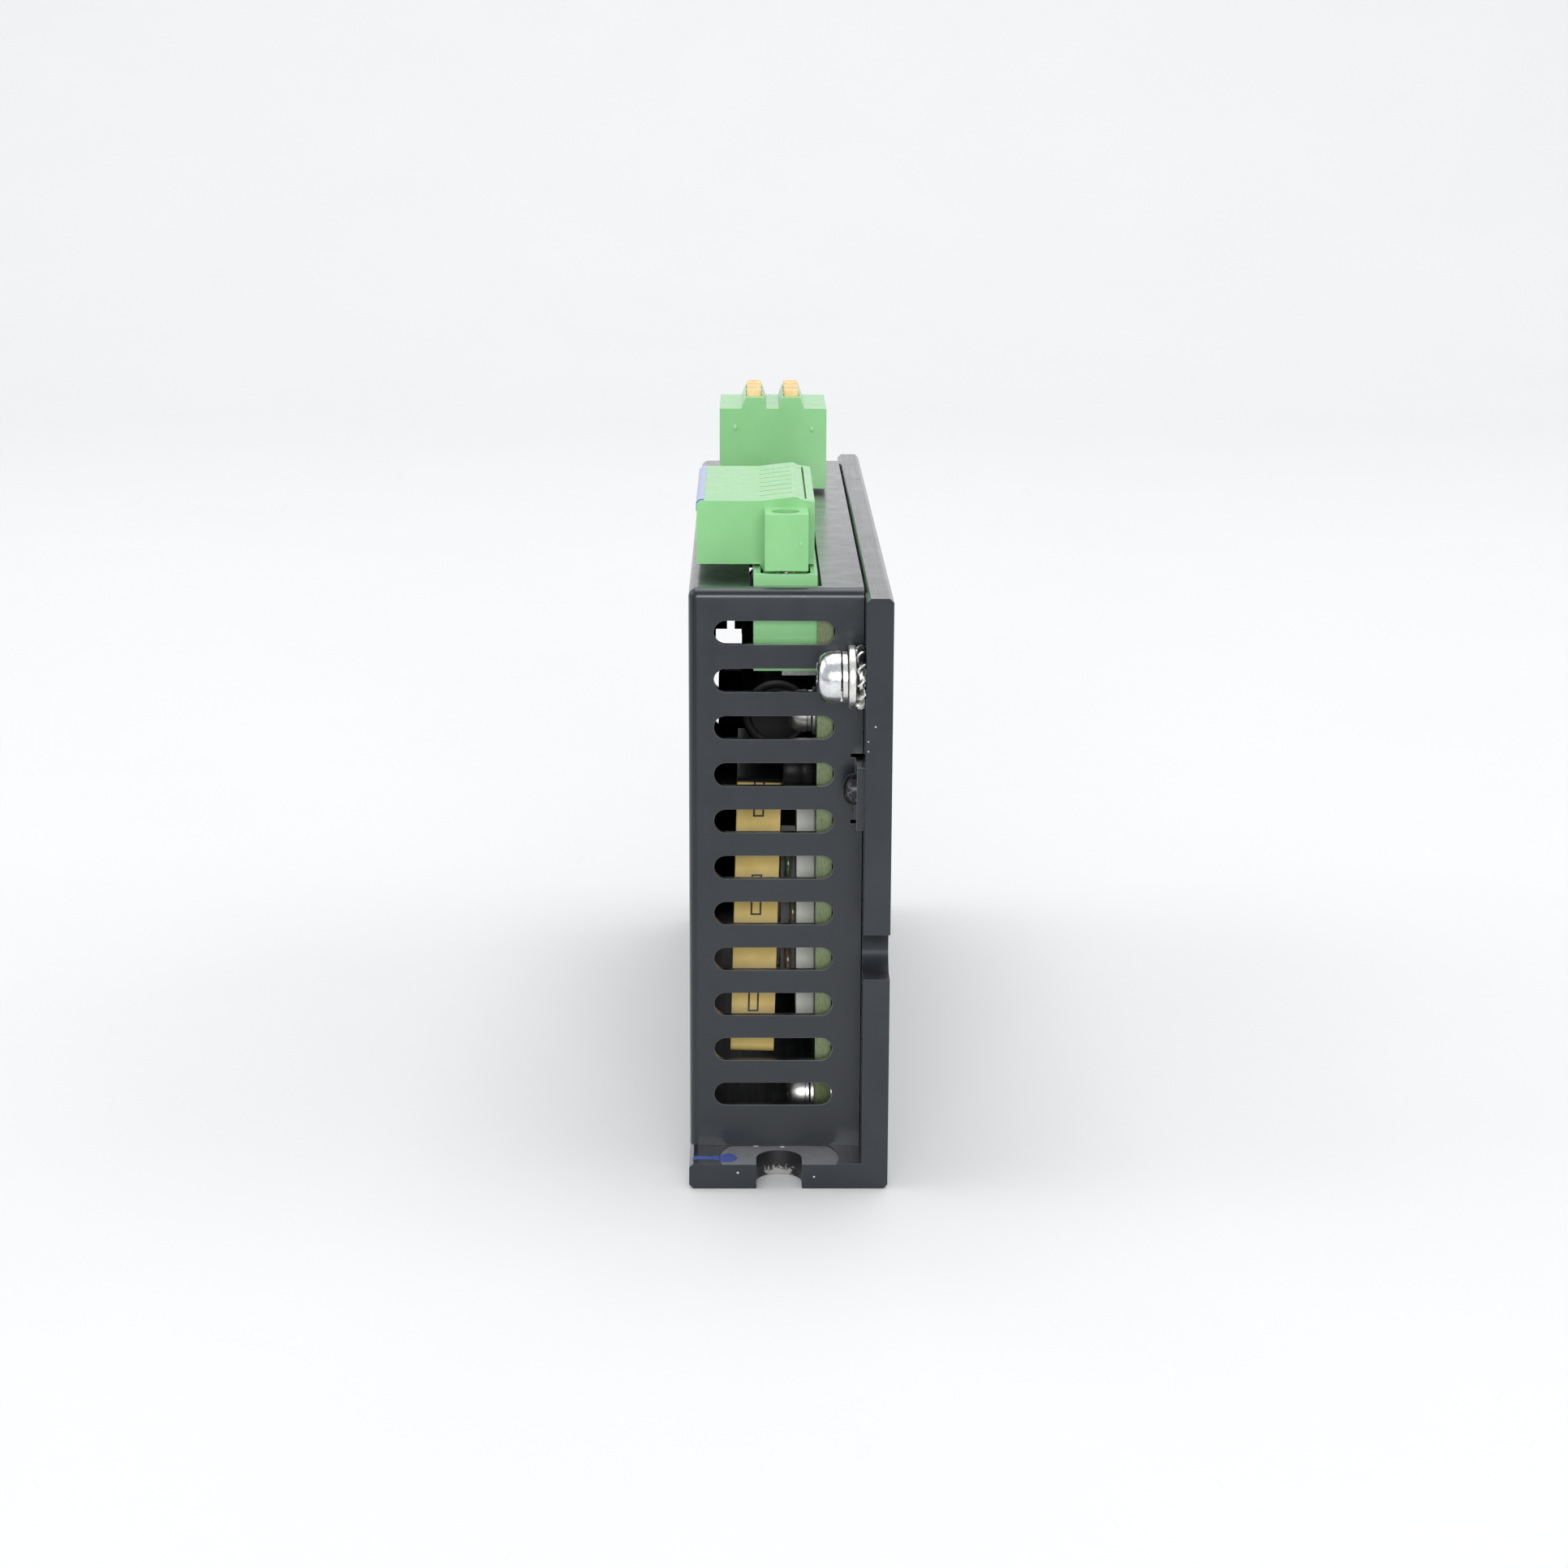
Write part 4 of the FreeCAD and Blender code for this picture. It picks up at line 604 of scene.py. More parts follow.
def star_tooth(number, count, centre, twist, root, tip, half_width, half_sheet):
    """One blade: a flat bar with rounded tip, stood out from the ring and twisted about its own
    length, so each edge points along the axis."""
    u = np.concatenate([[0.0], np.linspace(0, 1, 9), [1.0]])
    grow = np.sqrt(np.clip(1 - ((u - 0.72).clip(0) / 0.30) ** 2, 0.05, 1))
    grow[[0, -1]] = 0.0
    turned = np.radians(twist) * (0.35 + 0.65 * np.clip(u * 2, 0, 1))
    shape = np.array([[-1, -0.7], [-0.8, -1], [0.8, -1], [1, -0.7], [1, 0.7], [0.8, 1], [-0.8, 1],
                      [-1, 0.7], [-1, -0.7]])
    wide = shape[:, 0] * half_width * grow[:, None]
    thick = shape[:, 1] * half_sheet * np.where(grow > 0, 1.0, 0.0)[:, None]
    x = wide * np.sin(turned)[:, None] + thick * np.cos(turned)[:, None]
    side = wide * np.cos(turned)[:, None] - thick * np.sin(turned)[:, None]
    out = root + (tip - root) * u[:, None] + 0 * side
    angle = 2 * math.pi * number / count
    y = centre[1] + side * math.cos(angle) - out * math.sin(angle)
    z = centre[2] + side * math.sin(angle) + out * math.cos(angle)
    return np.stack([centre[0] + x, y, z], -1)


def box_of(node):
    """A node's lowest and highest corners, in millimetres."""
    return [np.array(corner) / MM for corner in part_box(node)]


stud = np.mean(box_of("ground_screw"), axis=0)[1:]
stud_zinc = zinc("stud_zinc", (0.86, 0.87, 0.88), 0.20)
washer_zinc = zinc("washer_zinc", (0.88, 0.88, 0.85), 0.26)
stud_pieces = [pan_head(stud, 6.15, 3.25, 2.93, full=4.5), threaded("x", stud, 6.15, 12.45, 1.75, 0.6)]
keep(skin("stud_screw", stud_pieces, stud_zinc), "ground_screw", "zinc", "ground_screw")
stud_spring = split_washer(stud, 6.2, 7.1, 3.15, 1.85, -math.pi / 2, 0.35)
keep(skin("stud_spring_washer", [stud_spring], washer_zinc), "case", "zinc", "ground_lock_washer")
keep(skin("stud_flat_washer", [washer(stud, 7.15, 8.0, 3.9, 1.85)], washer_zinc),
     "case", "zinc", "ground_flat_washer")
star = [washer(stud, 8.45, 8.8, 2.5, 1.85, 0.06)]
for number in range(12):
    star.append(star_tooth(number, 12, (8.625, *stud), 48.0, 2.35, 4.0, 0.70, 0.12))
keep(skin("stud_star_washer", star, washer_zinc), "case", "zinc", "ground_star_washer")


# --- Circuit board and its fixings --------------------------------------------------------------
# Glass-epoxy laminate with green solder mask, held off the upright plate on round spacers by four
# nickel pan-head screws, each over a spring washer and a flat washer.

board = Finish("board_laminate", (0.06, 0.10, 0.03), 0.45, Coat_Weight=0.2, Coat_Roughness=0.2)
facing_x = board.add("ShaderNodeSeparateXYZ")
board.feed(facing_x.inputs[0], board.add("ShaderNodeNewGeometry").outputs["Normal"])
broad = board.sum("GREATER_THAN", board.sum("ABSOLUTE", facing_x.outputs["X"]), 0.5)
weave = board.noise(0.5, 3.0, 0.6, board.stretched(4.0, 1.0, 1.0))
edge_tone = board.mix(board.span(weave, 0.3, 0.7), (0.085, 0.12, 0.045), (0.19, 0.235, 0.10))
track_cell = board.add("ShaderNodeTexVoronoi", feature="DISTANCE_TO_EDGE", distance="EUCLIDEAN")
board.feed(track_cell.inputs["Vector"], board.place)
track_cell.inputs["Scale"].default_value = 1.0 / (5.0 * MM)
track_cell.inputs["Randomness"].default_value = 0.55
tracks = board.span(track_cell.outputs["Distance"], 0.06, 0.09)
mask_tone = board.mix(tracks, (0.010, 0.075, 0.030), (0.022, 0.120, 0.050))
board.colour(board.mix(broad, edge_tone, mask_tone))
board.bump(board.sum("MULTIPLY", tracks, broad), 0.035, 0.6)
board.bump(weave, 0.02, 0.4)
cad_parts["main_board"].data.materials[0] = board.material

nickel = zinc("nickel_plate", (0.90, 0.89, 0.87), 0.34)
corners = [(y, z) for y in (-50.65, 50.65) for z in (8.1, 58.9)]
heads, springs, flats, stands = [], [], [], []
for index, corner in enumerate(corners):
    heads.append(pan_head(corner, 2.25, 2.7, 2.28, turn=0.4 * index, full=4.5))
    heads.append(threaded("x", corner, 2.25, 10.75, 1.5, 0.5))
    springs.append(split_washer(corner, 2.28, 2.93, 2.6, 1.6, math.pi / 2, 0.3))
    flats.append(washer(corner, 2.97, 3.43, 3.0, 1.6, 0.08))
    stands.append(turned_piece("x", corner, [
        (5.47, 1.55), (5.47, 2.45), (5.6, 2.6), (7.2, 2.6), (7.25, 2.52), (7.45, 2.52), (7.5, 2.6),
        (9.1, 2.6), (9.23, 2.45), (9.23, 1.55), (5.47, 1.55)]))
keep(skin("board_pan_screws", heads, nickel), "case", "nickel", "board_screws")
keep(skin("board_spring_washers", springs, nickel), "case", "nickel", "board_lock_washers")
keep(skin("board_plain_washers", flats, nickel), "case", "nickel", "board_flat_washers")
keep(skin("board_stand_offs", stands, nickel), "case", "spacer", "board_spacers")


# --- Front socket -------------------------------------------------------------------------------
# A green moulded socket on the board's top edge, open upwards, with tinned pins through its floor
# and a brass nut held at each end for the plug's flange screws.

def moulded_green(name, colour, deep, roughness=0.36):
    """Glass-filled nylon: even colour with faint flow marks and a fine dull grain."""
    made = Finish(name, colour, roughness, Coat_Weight=0.55, Coat_IOR=1.45, Coat_Roughness=0.18)
    flow = made.noise(5.0, 3.0)
    grain = made.noise(0.22, 2.0)
    made.colour(made.mix(made.span(flow, 0.3, 0.75), colour, deep))
    made.roughness(made.span(made.noise(1.4, 3.0), 0.3, 0.7, roughness - 0.05, roughness + 0.09))
    made.bump(grain, 0.008, 0.35)
    return made


green = moulded_green("connector_green", (0.225, 0.550, 0.215), (0.200, 0.505, 0.192))
# The rolled edges of the green mouldings take this paler green as a painted edge highlight; the small
# pips are made in it too.
green_edge = moulded_green("connector_green_edges", (0.26, 0.61, 0.27), (0.23, 0.57, 0.24), 0.3)
moulding("front_socket", "front_header", green, 0.14, green_edge, slot="green_plastic")

tin = zinc("tin_plate", (0.48, 0.48, 0.47), 0.3)
moulding("front_socket_pins", "front_header_pins", tin, 0.12, slot="tinned")
brass = zinc("nut_brass", (0.80, 0.60, 0.28), 0.28)
moulding("front_socket_nuts", "front_header_nuts", brass, 0.1, slot="brass_nut")


# --- Front plug ---------------------------------------------------------------------------------
# An eight-way screw plug in the same green, with a flange and a captive screw at each end. Wires
# enter the side away from the upright plate; each way has a clamp cage and a slotted screw.

# The groove floors and walls between the ribs on the plug's top are a darker green: painted shade in
# the grooves.
groove_shade_green = moulded_green("connector_green_groove_shade", (0.085, 0.300, 0.095), (0.070, 0.260, 0.080),
                             0.5)


def is_groove(middle, normal):
    floor = normal.z > 0.9 and abs(middle.z - 85.3) < 0.03
    wall = abs(normal.y) > 0.9 and abs(middle.z - 85.5) < 0.35
    return -3.7 < middle.x < 0.5 and (floor or wall)


moulding("front_plug", "front_plug_body", green, 0.12, green_edge, [(groove_shade_green, is_groove)],
         body="front_plug", slot="green_plastic")
moulding("front_plug_cages", "front_plug_clamps", tin, 0.06, body="front_plug", slot="nickel")


def slotted_head(axis, centre, base, top, radius, way):
    """A short round head facing its axis, as radius by angle. Its face is flat with a rolled rim,
    and a straight slot is sunk across it along one direction."""
    rolled = 0.9 + 0.1 * np.sin(np.linspace(0.30, 1, 8) * math.pi / 2)
    r = np.concatenate([np.linspace(0, 0.9, 26), rolled])
    r[-1] = 1.0
    rim = 1 - 0.12 * np.clip((r - 0.86) / 0.14, 0, 1) ** 2
    angle = np.linspace(0, 2 * math.pi, 81)
    one, two = r[:, None] * np.cos(angle), r[:, None] * np.sin(angle)
    cross = one * math.cos(way) + two * math.sin(way)
    half_slot, depth = 0.16, 0.34
    sunk = np.clip((half_slot - np.abs(cross)) / 0.05 + 0.5, 0, 1)
    rise = base + (top - base) * (rim[:, None] - depth * sunk)
    run = np.concatenate([rise, np.full((2, len(angle)), base)])
    one = centre[0] + radius * np.concatenate([one, one[-1:], one[:1]])
    two = centre[1] + radius * np.concatenate([two, two[-1:], two[:1]])
    return set_along(axis, run, one, two)


way_pitch = 3.81
first_way = -47.635
clamp_screws = []
for index in range(8):
    place = (first_way + way_pitch * index, 83.4)
    clamp_screws.append(slotted_head("x", place, -7.6, -10.0, 1.13, 0.5 + 0.37 * index))
    clamp_screws.append(threaded("x", place, -7.6, -3.2, 1.0, 0.4, 32))
keep(skin("front_plug_screws", clamp_screws, nickel), "front_plug", "nickel", "front_plug_clamp_screws")
for label, turn in (("near", 0.3), ("far", 1.2)):
    held = np.mean(box_of(f"front_flange_screw_{label}"), axis=0)[:2]
    shank = [slotted_head("z", held, 81.7, 83.6, 1.63, turn),
             threaded("z", held, 81.7, 72.0, 1.24, 0.5, 40)]
    keep(skin(f"flange_screw_{label}", shank, nickel), f"front_flange_screw_{label}", "nickel",
         f"front_flange_screw_{label}")


def label_strip(near, far, lift):
    """A thin printed strip folded over the plug's top left edge. Across, it runs up the side,
    over the chamfer and onto the top; along, it is straight. Both skins and all edges close."""
    fold = np.array([(-11.6, 84.15), (-11.6, 85.1), (-11.42, 85.3), (-11.2, 85.5), (-10.7, 85.5)])
    out = np.array([(-1, 0), (-0.94, 0.34), (-0.7, 0.7), (-0.34, 0.94), (0, 1)])
    upper = fold + out * lift
    lower = fold + out * 0.01
    ring_line = np.concatenate([upper, lower[::-1], upper[:1]])
    middle = ring_line[:-1].mean(0)
    grow = np.concatenate([[0.0], np.ones(30), [0.0]])
    y = np.concatenate([[near], np.linspace(near, far, 30), [far]])
    section = middle + (ring_line - middle) * grow[:, None, None]
    return np.stack(np.broadcast_arrays(section[..., 0], y[:, None], section[..., 1]), -1)


strip_near, strip_far = (corner[1] for corner in box_of("front_marker_strip"))
lilac = Finish("printed_strip", (0.44, 0.47, 0.80), 0.4)
strip_run = lilac.along("Y")
from_near = lilac.sum("SUBTRACT", strip_run, strip_near)
strip_cells = lilac.sum("FRACT", lilac.sum("DIVIDE", from_near, way_pitch))
divider = lilac.sum("MULTIPLY", lilac.sum("LESS_THAN", strip_cells, 0.05), 0.35)
dark_end = lilac.span(from_near, 0.45, 0.65, 1.0, 0.0)
lilac_tone = lilac.mix(lilac.noise(1.5, 3.0), (0.36, 0.40, 0.58), (0.43, 0.47, 0.65))
lilac.colour(lilac.mix(lilac.sum("MAXIMUM", divider, dark_end), lilac_tone, (0.06, 0.13, 0.42)))
lilac.bump(lilac.noise(0.3, 2.0), 0.006, 0.3)
keep(skin("front_label_strip", [label_strip(strip_near, strip_far, 0.09)], lilac, 50.0),
     "front_plug", "marker_film", "front_marker_strip")


def pip(centre, radius, height, facing=-1.0):
    """A low oval moulding mark on a face that looks along Y, 1.6 times as tall as it is wide:
    its height falls to the rim as a quarter ellipse."""
    angle = np.linspace(0, 2 * math.pi, 25)
    u = np.linspace(0, math.pi / 2, 8)
    r = np.concatenate([np.sin(u), [1.0, 0.0]])[:, None] * radius
    rise = np.concatenate([np.cos(u), [-0.3, -0.3]])[:, None] * height
    x = centre[0] + r * np.cos(angle)
    z = centre[2] + 1.6 * r * np.sin(angle)
    return np.stack([x, centre[1] + facing * rise + 0 * x, z], -1)


front_pips = [pip((1.37, -55.15, 80.84), 0.22, 0.14), pip((1.37, -13.45, 80.84), 0.22, 0.14, 1.0)]
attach(skin("front_plug_pips", front_pips, green_edge), "front_plug")


# --- Rear socket and plug -----------------------------------------------------------------------
# A three-way socket and a spring-clamp plug in the same green. Each way takes a wire from either
# side, held by a leaf spring that an orange push lever opens.

moulding("rear_socket", "rear_header", green, 0.14, green_edge, slot="green_plastic")
moulding("rear_socket_pins", "rear_header_pins", tin, 0.12, slot="tinned")
moulding("rear_plug", "rear_plug_body", green, 0.12, green_edge, body="rear_plug", slot="green_plastic")
moulding("rear_plug_sleeves", "rear_plug_contacts", tin, 0.06, body="rear_plug", slot="tinned")


def rounded_block(low, high, corner, edge, dish=0.0, axis=2):
    """A block with rounded upright corners and rolled ends. Around it runs a rounded rectangle;
    along it the rectangle draws in over the rolled ends by a quarter circle, then closes to the
    middle. The top may be dished."""
    order = [k for k in range(3) if k != axis] + [axis]
    low, high = np.array(low, float)[order], np.array(high, float)[order]
    middle, half = (low + high) / 2, (high - low) / 2
    signs = np.repeat([(1, 1), (-1, 1), (-1, -1), (1, -1)], 6, axis=0)
    turn = (np.arange(4)[:, None] * math.pi / 2 + np.linspace(0, math.pi / 2, 6)).ravel()
    ring_x = signs[:, 0] * (half[0] - corner) + corner * np.cos(turn)
    ring_y = signs[:, 1] * (half[1] - corner) + corner * np.sin(turn)
    ring_x, ring_y = np.append(ring_x, ring_x[0]), np.append(ring_y, ring_y[0])
    roll = np.linspace(0, math.pi / 2, 5)
    inset = np.concatenate([edge * (1 - np.sin(roll)), edge * (1 - np.cos(roll))])
    rise = np.concatenate([edge * (1 - np.cos(roll)), 2 * half[2] - edge * (1 - np.sin(roll))])
    shrink = np.linspace(1, 0, 6)[1:]
    scale = np.concatenate([shrink[::-1], np.ones(10), shrink])
    inset = np.concatenate([np.full(5, edge), inset, np.full(5, edge)])
    rise = np.concatenate([np.zeros(5), rise, np.full(5, 2 * half[2])])
    rise[-5:] -= dish * (1 - shrink ** 2)
    first = middle[0] + ring_x[None] * (1 - inset / half[0])[:, None] * scale[:, None]
    second = middle[1] + ring_y[None] * (1 - inset / half[1])[:, None] * scale[:, None]
    third = np.broadcast_to((low[2] + rise)[:, None], first.shape)
    out = [None, None, None]
    for place, values in zip(order, (first, second, third)):
        out[place] = values
    return np.stack(out, -1)


def leaf_spring(start, end, way, top):
    """A spring leaf: a thin strip that runs in under the roof of a wire opening and bows down like
    half a wave; both skins are closed at the ends."""
    u = np.concatenate([[0.0], np.linspace(0, 1, 24), [1.0]])
    grow = np.ones(26)
    grow[[0, -1]] = 0.0
    section = np.array([(-1, -1), (1, -1), (1, 1), (-1, 1), (-1, -1)], float)
    bow = 0.9 * np.sin(u * math.pi / 2) ** 2
    xs = start + (end - start) * u[:, None] + 0 * section[:, 0]
    ys = way + 1.0 * section[:, 1] * grow[:, None]
    zs = top - bow[:, None] + 0.11 * section[:, 0] * grow[:, None]
    return np.stack([xs, ys, zs], -1)


rear_ways = (25.67, 30.75, 35.83)
leaves = []
for way in rear_ways:
    leaves.append(leaf_spring(-8.9, -6.3, way, 82.55))
    leaves.append(leaf_spring(5.9, 3.3, way, 82.55))
keep(skin("rear_plug_leaves", leaves, nickel), "rear_plug", "nickel", "rear_plug_springs")

orange = Finish("lever_orange", (0.86, 0.42, 0.10), 0.34, Coat_Weight=0.15, Coat_Roughness=0.25)
orange_flow = orange.noise(2.4, 3.0)
orange.colour(orange.mix(orange.span(orange_flow, 0.3, 0.7), (0.69, 0.43, 0.155), (0.73, 0.57, 0.26)))
orange.roughness(orange.span(orange.noise(0.8, 3.0), 0.3, 0.7, 0.28, 0.42))
orange.bump(orange.noise(0.22, 2.0), 0.008, 0.35)
for index in range(1, 7):
    lever = f"release_lever_{index}"
    low, high = box_of(lever)
    block = rounded_block(low, high - (0.0, 0.0, 0.04), 0.3, 0.26, dish=0.22)
    keep(skin(f"lever_{index}", [block], orange), lever, "orange_plastic", lever)

rear_pips = [pip((-7.05, 21.85, 85.48), 0.3, 0.2), pip((4.17, 21.85, 85.27), 0.3, 0.2),
             pip((-7.05, 39.65, 85.48), 0.3, 0.2, 1.0), pip((4.17, 39.65, 85.27), 0.3, 0.2, 1.0)]
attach(skin("rear_plug_pips", rear_pips, green_edge), "rear_plug")


# --- Transformer --------------------------------------------------------------------------------
# A flat ferrite transformer on a pale coil former. Yellow polyester tape is wound round the core halves
# to hold them together;
# the tape is coloured near black on its faces that look upwards, and lead wires loop out of the
# winding.

tape = Finish("yellow_tape", (0.60, 0.40, 0.10), 0.32, Coat_Weight=0.5, Coat_Roughness=0.16)
tape_x, tape_z = tape.along("X"), tape.along("Z")
tape_soft = tape.noise(4.0, 3.0)
tape_tone = tape.mix(tape.span(tape_soft, 0.3, 0.75), (0.74, 0.56, 0.19), (0.60, 0.44, 0.13))
lean = tape.sum("MULTIPLY_ADD", tape_z, -0.02496, tape_x)
across_tape = tape.sum("ABSOLUTE", tape.sum("SUBTRACT", lean, -4.93))
printed = 0.0
for middle_z, half_height in ((47.4, 2.35), (34.6, 2.6), (20.8, 1.8)):
    up_tape = tape.sum("ABSOLUTE", tape.sum("SUBTRACT", tape_z, middle_z))
    past_side = tape.sum("SUBTRACT", across_tape, 0.58)
    past_end = tape.sum("SUBTRACT", up_tape, half_height)
    beyond = tape.sum("MAXIMUM", past_side, past_end)
    outline = tape.sum("LESS_THAN", tape.sum("ABSOLUTE", beyond), 0.12)
    printed = tape.sum("MAXIMUM", outline, printed)
marked = tape.mix(printed, tape_tone, (0.03, 0.02, 0.006))
# The tape's faces that look upwards are coloured near black.
tape_facing = tape.add("ShaderNodeSeparateXYZ")
tape.feed(tape_facing.inputs[0], tape.add("ShaderNodeNewGeometry").outputs["Normal"])
upward_faces_black = tape.span(tape_facing.outputs["Z"], 0.6, 0.75)
tape.colour(tape.mix(upward_faces_black, marked, (0.012, 0.012, 0.014)))
tape.bump(tape_soft, 0.05, 0.5)
tape.bump(tape.noise(0.5, 3.0, 0.6, tape.stretched(0.2, 1.0, 1.0)), 0.01, 0.3)
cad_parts["transformer_tape"].data.materials[0] = tape.material

ferrite = Finish("ferrite_grey", (0.035, 0.034, 0.036), 0.55)
ferrite_grain = ferrite.noise(0.3, 4.0)
ferrite.colour(ferrite.mix(ferrite_grain, (0.02, 0.02, 0.022), (0.06, 0.058, 0.06)))
ferrite.bump(ferrite_grain, 0.03, 0.5)
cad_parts["transformer_core"].data.materials[0] = ferrite.material

bobbin = Finish("former_white", (0.55, 0.56, 0.51), 0.5)
bobbin_spots = bobbin.flecks(1.7, 0.4, 0.16)
bobbin_tone = bobbin.mix(bobbin.noise(1.2, 3.0), (0.48, 0.49, 0.45), (0.62, 0.63, 0.58))
bobbin.colour(bobbin.mix(bobbin_spots, bobbin_tone, (0.06, 0.06, 0.05)))
bobbin.bump(bobbin.noise(0.5, 3.0), 0.05, 0.5)
moulding("coil_former", "transformer_bobbin", bobbin, 0.25, slot="bobbin_white")

enamel = Finish("winding_enamel", (0.10, 0.045, 0.02), 0.3, Coat_Weight=0.6, Coat_Roughness=0.15)
turns = enamel.add("ShaderNodeTexWave", wave_type="BANDS", bands_direction="X")
enamel.feed(turns.inputs["Vector"], enamel.place)
turns.inputs["Scale"].default_value = 1.0 / (0.45 * MM) / 20
turns.inputs["Distortion"].default_value = 0.6
enamel.colour(enamel.mix(turns.outputs["Fac"], (0.014, 0.010, 0.008), (0.050, 0.030, 0.018)))
enamel.bump(turns.outputs["Fac"], 0.08, 0.8)
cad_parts["transformer_winding"].data.materials[0] = enamel.material


def lead_loop(x, y, z, bend, radius):
    """A round wire bent to a half circle: the wire's circle carried round the bend, drawn to its
    middle at both ends, and leaning a little to one side at the top of the loop."""
    t = np.concatenate([[0.0], np.linspace(0, 1, 33), [1.0]])
    grow = np.ones_like(t)
    grow[[0, -1]] = 0.0
    turn = math.pi * t
    angle = np.linspace(0, 2 * math.pi, 17)
    out = bend + radius * grow[:, None] * np.cos(angle)
    xs = x + radius * grow[:, None] * np.sin(angle) + 0.35 * np.sin(turn)[:, None]
    ys = y - out * np.sin(turn)[:, None]
    zs = z + out * np.cos(turn)[:, None]
    return np.stack([xs, ys, zs], -1)


lead_brown = Finish("lead_wire", (0.22, 0.13, 0.07), 0.25, Coat_Weight=0.6, Coat_Roughness=0.1)
lead_tone = lead_brown.span(lead_brown.along("Z"), 30.0, 34.0)
lead_brown.colour(lead_brown.mix(lead_tone, (0.10, 0.065, 0.04), (0.045, 0.065, 0.03)))
lead_brown.bump(lead_brown.noise(0.4, 3.0), 0.02, 0.4)
loops = [lead_loop(x, -47.4, z, 2.2, 0.38) for x, z in ((-0.3, 25.0), (0.3, 31.5), (-0.3, 38.0))]
keep(skin("coil_leads", loops, lead_brown), "case", "lead_brown", "transformer_leads")


# --- Capacitors ---------------------------------------------------------------------------------
# Aluminium cans in shrunk black sleeves: three long ones lie end to end under the sockets, one
# small one stands near the vents, and four stand on the output side.

def can_profile(start, end, radius, groove):
    """From the pressed top over its rolled rim, down the side, in and out of the groove over the
    rubber seal, and over the seal end. Places run from the free top to the seal."""
    return [(start + 0.25, 0.0), (start + 0.25, radius * 0.72), (start + 0.02, radius * 0.80),
            (start, radius * 0.86), (start + 0.12, radius * 0.95), (start + 0.45, radius * 0.995),
            (start + 0.9, radius), (end - groove - 0.9, radius), (end - groove - 0.45, radius * 0.93),
            (end - groove, radius * 0.90), (end - groove + 0.45, radius * 0.93),
            (end - groove + 0.9, radius), (end - 0.5, radius), (end - 0.1, radius * 0.95),
            (end, radius * 0.86), (end, radius * 0.5), (end, 0.0)]


sleeve = Finish("black_sleeve", (0.004, 0.004, 0.005), 0.42, Specular_IOR_Level=0.2)
sleeve_wave = sleeve.noise(3.0, 3.0)
sleeve.roughness(sleeve.span(sleeve_wave, 0.3, 0.7, 0.36, 0.5))
sleeve.colour(sleeve.mix(sleeve.noise(1.0, 2.0), (0.0030, 0.0030, 0.0035), (0.0055, 0.0055, 0.0060)))
sleeve.bump(sleeve_wave, 0.06, 0.5)
cans = [turned_piece("y", (-1.45, 57.2), can_profile(y, y + 29.5, 4.6, 3.0))
        for y in (-45.0, -15.0, 15.0)]
keep(skin("input_cans", cans, sleeve), "case", "sleeve_black", "input_capacitors")
board_face = 3.45
bias_can = turned_piece("x", (-49.5, 51.0), can_profile(-0.8, board_face, 3.15, 1.4))
keep(skin("bias_can", [bias_can], sleeve), "case", "sleeve_black", "bias_capacitor")
cans = [turned_piece("x", place, can_profile(start, board_face, 5.0, 2.0))
        for start, place in ((-9.4, (8.2, 47.1)), (-10.75, (8.2, 37.05)), (-10.75, (8.2, 27.0)),
                             (-10.75, (-2.1, 37.05)))]
keep(skin("output_cans", cans, sleeve), "case", "sleeve_black", "output_capacitors")


# --- Choke --------------------------------------------------------------------------------------
# A ferrite ring wound with one layer of thick enamelled copper. It lies flat against the board,
# on the output side.

def ring_core(centre, low, high, outer, inner, edge):
    """The ring's section, a rectangle with rounded corners, carried once round the axis."""
    turn = np.arange(4)[:, None] * math.pi / 2 + np.linspace(0, math.pi / 2, 5)
    x = np.array([[high - edge], [low + edge], [low + edge], [high - edge]]) + edge * np.cos(turn)
    r = np.array([[outer - edge], [outer - edge], [inner + edge], [inner + edge]]) + edge * np.sin(turn)
    section = np.stack([x.ravel(), r.ravel()], -1)
    return turned_piece("x", centre, np.concatenate([section, section[:1]]), 72)


def toroid_wire(centre, low, high, outer, inner, wire, turn_count):
    """A wire wound round a ring: the path circles the ring's section, a soft-cornered rectangle,
    once a turn while it creeps round the axis, and the wire's own circle is carried along it."""
    t = np.linspace(0, 1, turn_count * 28 + 1)
    section = 2 * math.pi * turn_count * t
    cos, sin = np.cos(section), np.sin(section)
    squared = (np.abs(cos) ** 5 + np.abs(sin) ** 5) ** 0.2
    x = (low + high) / 2 + (high - low) / 2 * cos / squared
    r = (outer + inner) / 2 + (outer - inner) / 2 * sin / squared
    angle = 0.25 + (2 * math.pi - 0.5) * t
    path = np.stack([x, centre[0] + r * np.cos(angle), centre[1] + r * np.sin(angle)], -1)
    forward = np.gradient(path, axis=0)
    forward /= np.linalg.norm(forward, axis=1, keepdims=True)
    axis_line = np.stack([0 * t, -np.sin(angle), np.cos(angle)], -1)
    side = np.cross(forward, axis_line)
    side /= np.linalg.norm(side, axis=1, keepdims=True)
    up = np.cross(side, forward)
    grow = np.ones_like(t)
    grow[[0, -1]] = 0.0
    around = np.linspace(0, 2 * math.pi, 9)[None, :, None]
    offset = np.cos(around) * side[:, None] + np.sin(around) * up[:, None]
    return path[:, None] + wire * grow[:, None, None] * offset


